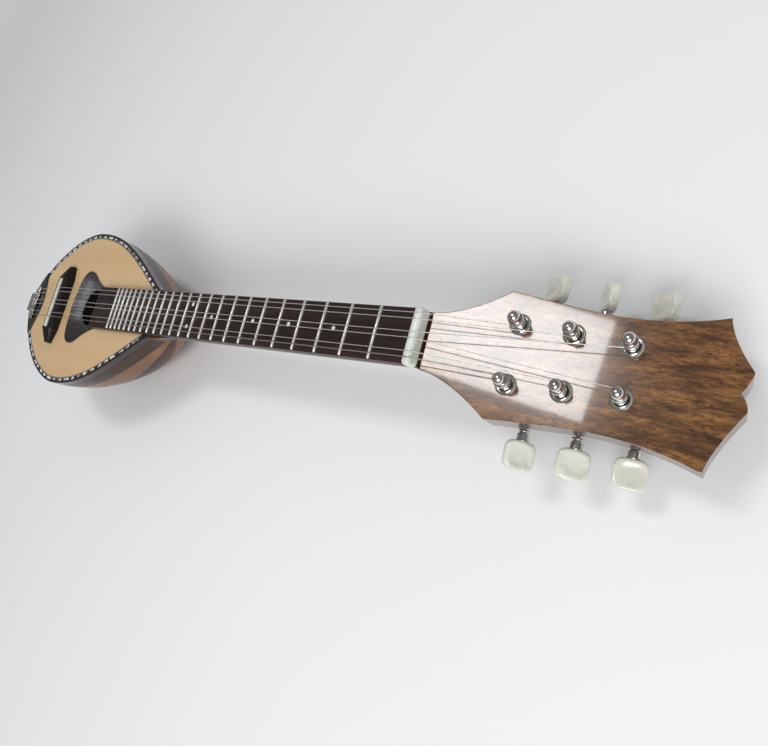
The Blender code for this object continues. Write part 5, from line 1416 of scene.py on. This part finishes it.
def make_ear():
    # Upright bearing for the worm's shaft, round at its foot; drawn flat in x and z, one thickness deep
    base = PLATE_TOP_OFF - 0.5 * PLATE_THICKNESS
    centre = (0.0, WORM_OFF - EAR_REACH + EAR_HALF)
    outline = [(EAR_HALF, base)] + arc(centre, (EAR_HALF, EAR_HALF), 0.0, -math.pi, 12) + [(-EAR_HALF, base)]
    bearing = [(0.0, WORM_OFF, SHAFT_RADIUS + GAP, SHAFT_RADIUS + GAP)]
    return sawn_plate(outline, 0.0, EAR_THICKNESS, bearing, edge=SHEET_EDGE, both=True, steps=2)


def make_plate(name, side, node):
    y0, y1 = sorted(side * reach for reach in PLATE_SPAN_Y)
    low = PLATE_TOP_OFF - PLATE_THICKNESS
    parts = [sawn_plate(rounded_box(*PLATE_SPAN_S, y0, y1, PLATE_CORNER), low, PLATE_TOP_OFF,
                        post_holes(BORE_RADIUS, side), edge=SHEET_EDGE, both=True, steps=2)]
    tuners = [(s, y) for _, hand, s, y in TUNERS if hand == side]
    for s, y in tuners:
        for start in (EAR_INNER + EAR_THICKNESS, -EAR_INNER):
            parts.append(placed(make_ear(), (s + WORM_OFFSET_S, y + start, 0.0), 1))
    screws = [(s + SCREW_STEP_S, y) for s, y in tuners] + [(tuners[0][0] + SCREW_FIRST_S, tuners[0][1])]
    for s, y in screws:
        parts.append(placed(screw_head(SCREW_RADIUS, SCREW_HEIGHT), (s, y, low), 2))
    finished(name, set_on_head(gathered(*parts)), NICKEL, "nickel", [node], crease=32.0)


# Stage

def make_floor_look():
    made, tree, shader, vector = begin_material("studio_floor")
    base = mix_colour(tree, noise(tree, vector, 3.0, 2.0), (0.86, 0.86, 0.86), (0.89, 0.89, 0.89))
    tree.links.new(base, shader.inputs["Base Color"])
    shader.inputs["Roughness"].default_value = 0.7
    # Far from the lamps the floor stays pale to the eye without lighting the instrument
    reach = add_node(tree, "ShaderNodeVectorMath", {0: vector}, operation="LENGTH").outputs["Value"]
    seen = add_node(tree, "ShaderNodeLightPath").outputs["Is Camera Ray"]
    glow = calc(tree, "MULTIPLY", remap(tree, reach, GLOW_START, GLOW_FULL), seen)
    light = mix_colour(tree, glow, (0.0, 0.0, 0.0), (GLOW_LEVEL, GLOW_LEVEL, GLOW_LEVEL))
    tree.links.new(light, shader.inputs["Emission Color"])
    shader.inputs["Emission Strength"].default_value = 1.0
    return made


def make_floor():
    work = bmesh.new()
    bmesh.ops.create_grid(work, x_segments=1, y_segments=1, size=FLOOR_HALF)
    floor = set_out("floor", work, make_floor_look())
    floor.location.z = CAD_LOW.z - FLOOR_DROP


def make_lamp(name, place, aim, power, width, height, roll=0.0):
    # A rectangular softbox turned to its aim and rolled about its own axis
    lamp = bpy.data.lights.new(name, "AREA")
    lamp.shape = "RECTANGLE"
    lamp.size = width
    lamp.size_y = height
    lamp.energy = power
    holder = bpy.data.objects.new(name, lamp)
    turn = (Vector(aim) - Vector(place)).to_track_quat("-Z", "Y").to_matrix().to_4x4()
    holder.matrix_world = Matrix.Translation(place) @ turn @ Matrix.Rotation(math.radians(roll), 4, "Z")
    bpy.context.scene.collection.objects.link(holder)


def make_light():
    # The small overhead box is the one that mirrors in the headstock's lacquer, the low one in the pickguard
    make_lamp("key_softbox", place=(0.80, -0.95, 1.20), aim=(0.0, 0.0, 0.05), power=17.0,
              width=0.9, height=0.9)
    make_lamp("overhead_softbox", place=(0.0465, 0.288, 1.25), aim=(0.0465, 0.288, 0.0), power=3.2,
              width=0.407, height=0.228, roll=-6.0)
    make_lamp("tail_strip", place=(-1.131, 0.134, 0.50), aim=(-0.185, 0.006, 0.066), power=0.017,
              width=0.085, height=0.012)


def make_room():
    # The room is dimmer in reflections than on the instrument, and near white to the camera
    world = bpy.data.worlds.new("studio")
    bpy.context.scene.world = world
    world.use_nodes = True
    tree = world.node_tree
    back = tree.nodes["Background"]
    path = add_node(tree, "ShaderNodeLightPath")
    room = mix_colour(tree, path.outputs["Is Glossy Ray"], (0.38, 0.39, 0.40), (0.20, 0.20, 0.205))
    seen = mix_colour(tree, path.outputs["Is Camera Ray"], room, (0.93, 0.93, 0.93))
    tree.links.new(seen, back.inputs["Color"])
    back.inputs["Strength"].default_value = 1.0


def make_camera():
    # The photograph looks down along the neck from above the headstock, rolled to its right
    data = bpy.data.cameras.new("camera")
    data.sensor_width = CAMERA_SENSOR
    data.lens = CAMERA_LENS
    data.clip_start, data.clip_end = CAMERA_CLIP
    camera = bpy.data.objects.new("camera", data)
    turn = Euler([math.radians(angle) for angle in CAMERA_TURN]).to_matrix()
    camera.matrix_world = Matrix.Translation(CAMERA_PLACE) @ turn.to_4x4()
    bpy.context.scene.collection.objects.link(camera)
    bpy.context.scene.camera = camera


def make_inner_woods():
    for name in ("neck_block", "tail_block", "brace_front", "brace_rear"):
        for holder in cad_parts[name].material_slots:
            holder.material = INNER_WOOD


make_camera()
make_floor()
make_light()
make_room()
make_soundboard()
make_binding()
make_purfling()
make_skirt()
for rib_number in range(1, RIB_COUNT + 1):
    make_rib(rib_number)
make_tail_cap()
make_neck()
make_veneer()
make_fingerboard()
make_frets()
make_position_dots()
make_nut()
make_pickguard()
make_hole_lining()
make_bridge()
make_saddle()
make_tail_guard()
make_tailpiece()
for string_number in STRING_RADII:
    make_string(string_number)
for tuner_number, tuner_side, tuner_s, tuner_y in TUNERS:
    make_post(tuner_number, tuner_s, tuner_y)
    make_bushing(tuner_number, tuner_s, tuner_y)
    make_worm(tuner_number, tuner_side, tuner_s, tuner_y)
    make_button(tuner_number, tuner_side, tuner_s, tuner_y)
    make_ferrule(tuner_number, tuner_side, tuner_s, tuner_y)
make_plate("tuner_plate_far_nickel", 1, "tuner_plate_far")
make_plate("tuner_plate_near_nickel", -1, "tuner_plate_near")
make_inner_woods()
bpy.context.scene.view_settings.view_transform = "Standard"
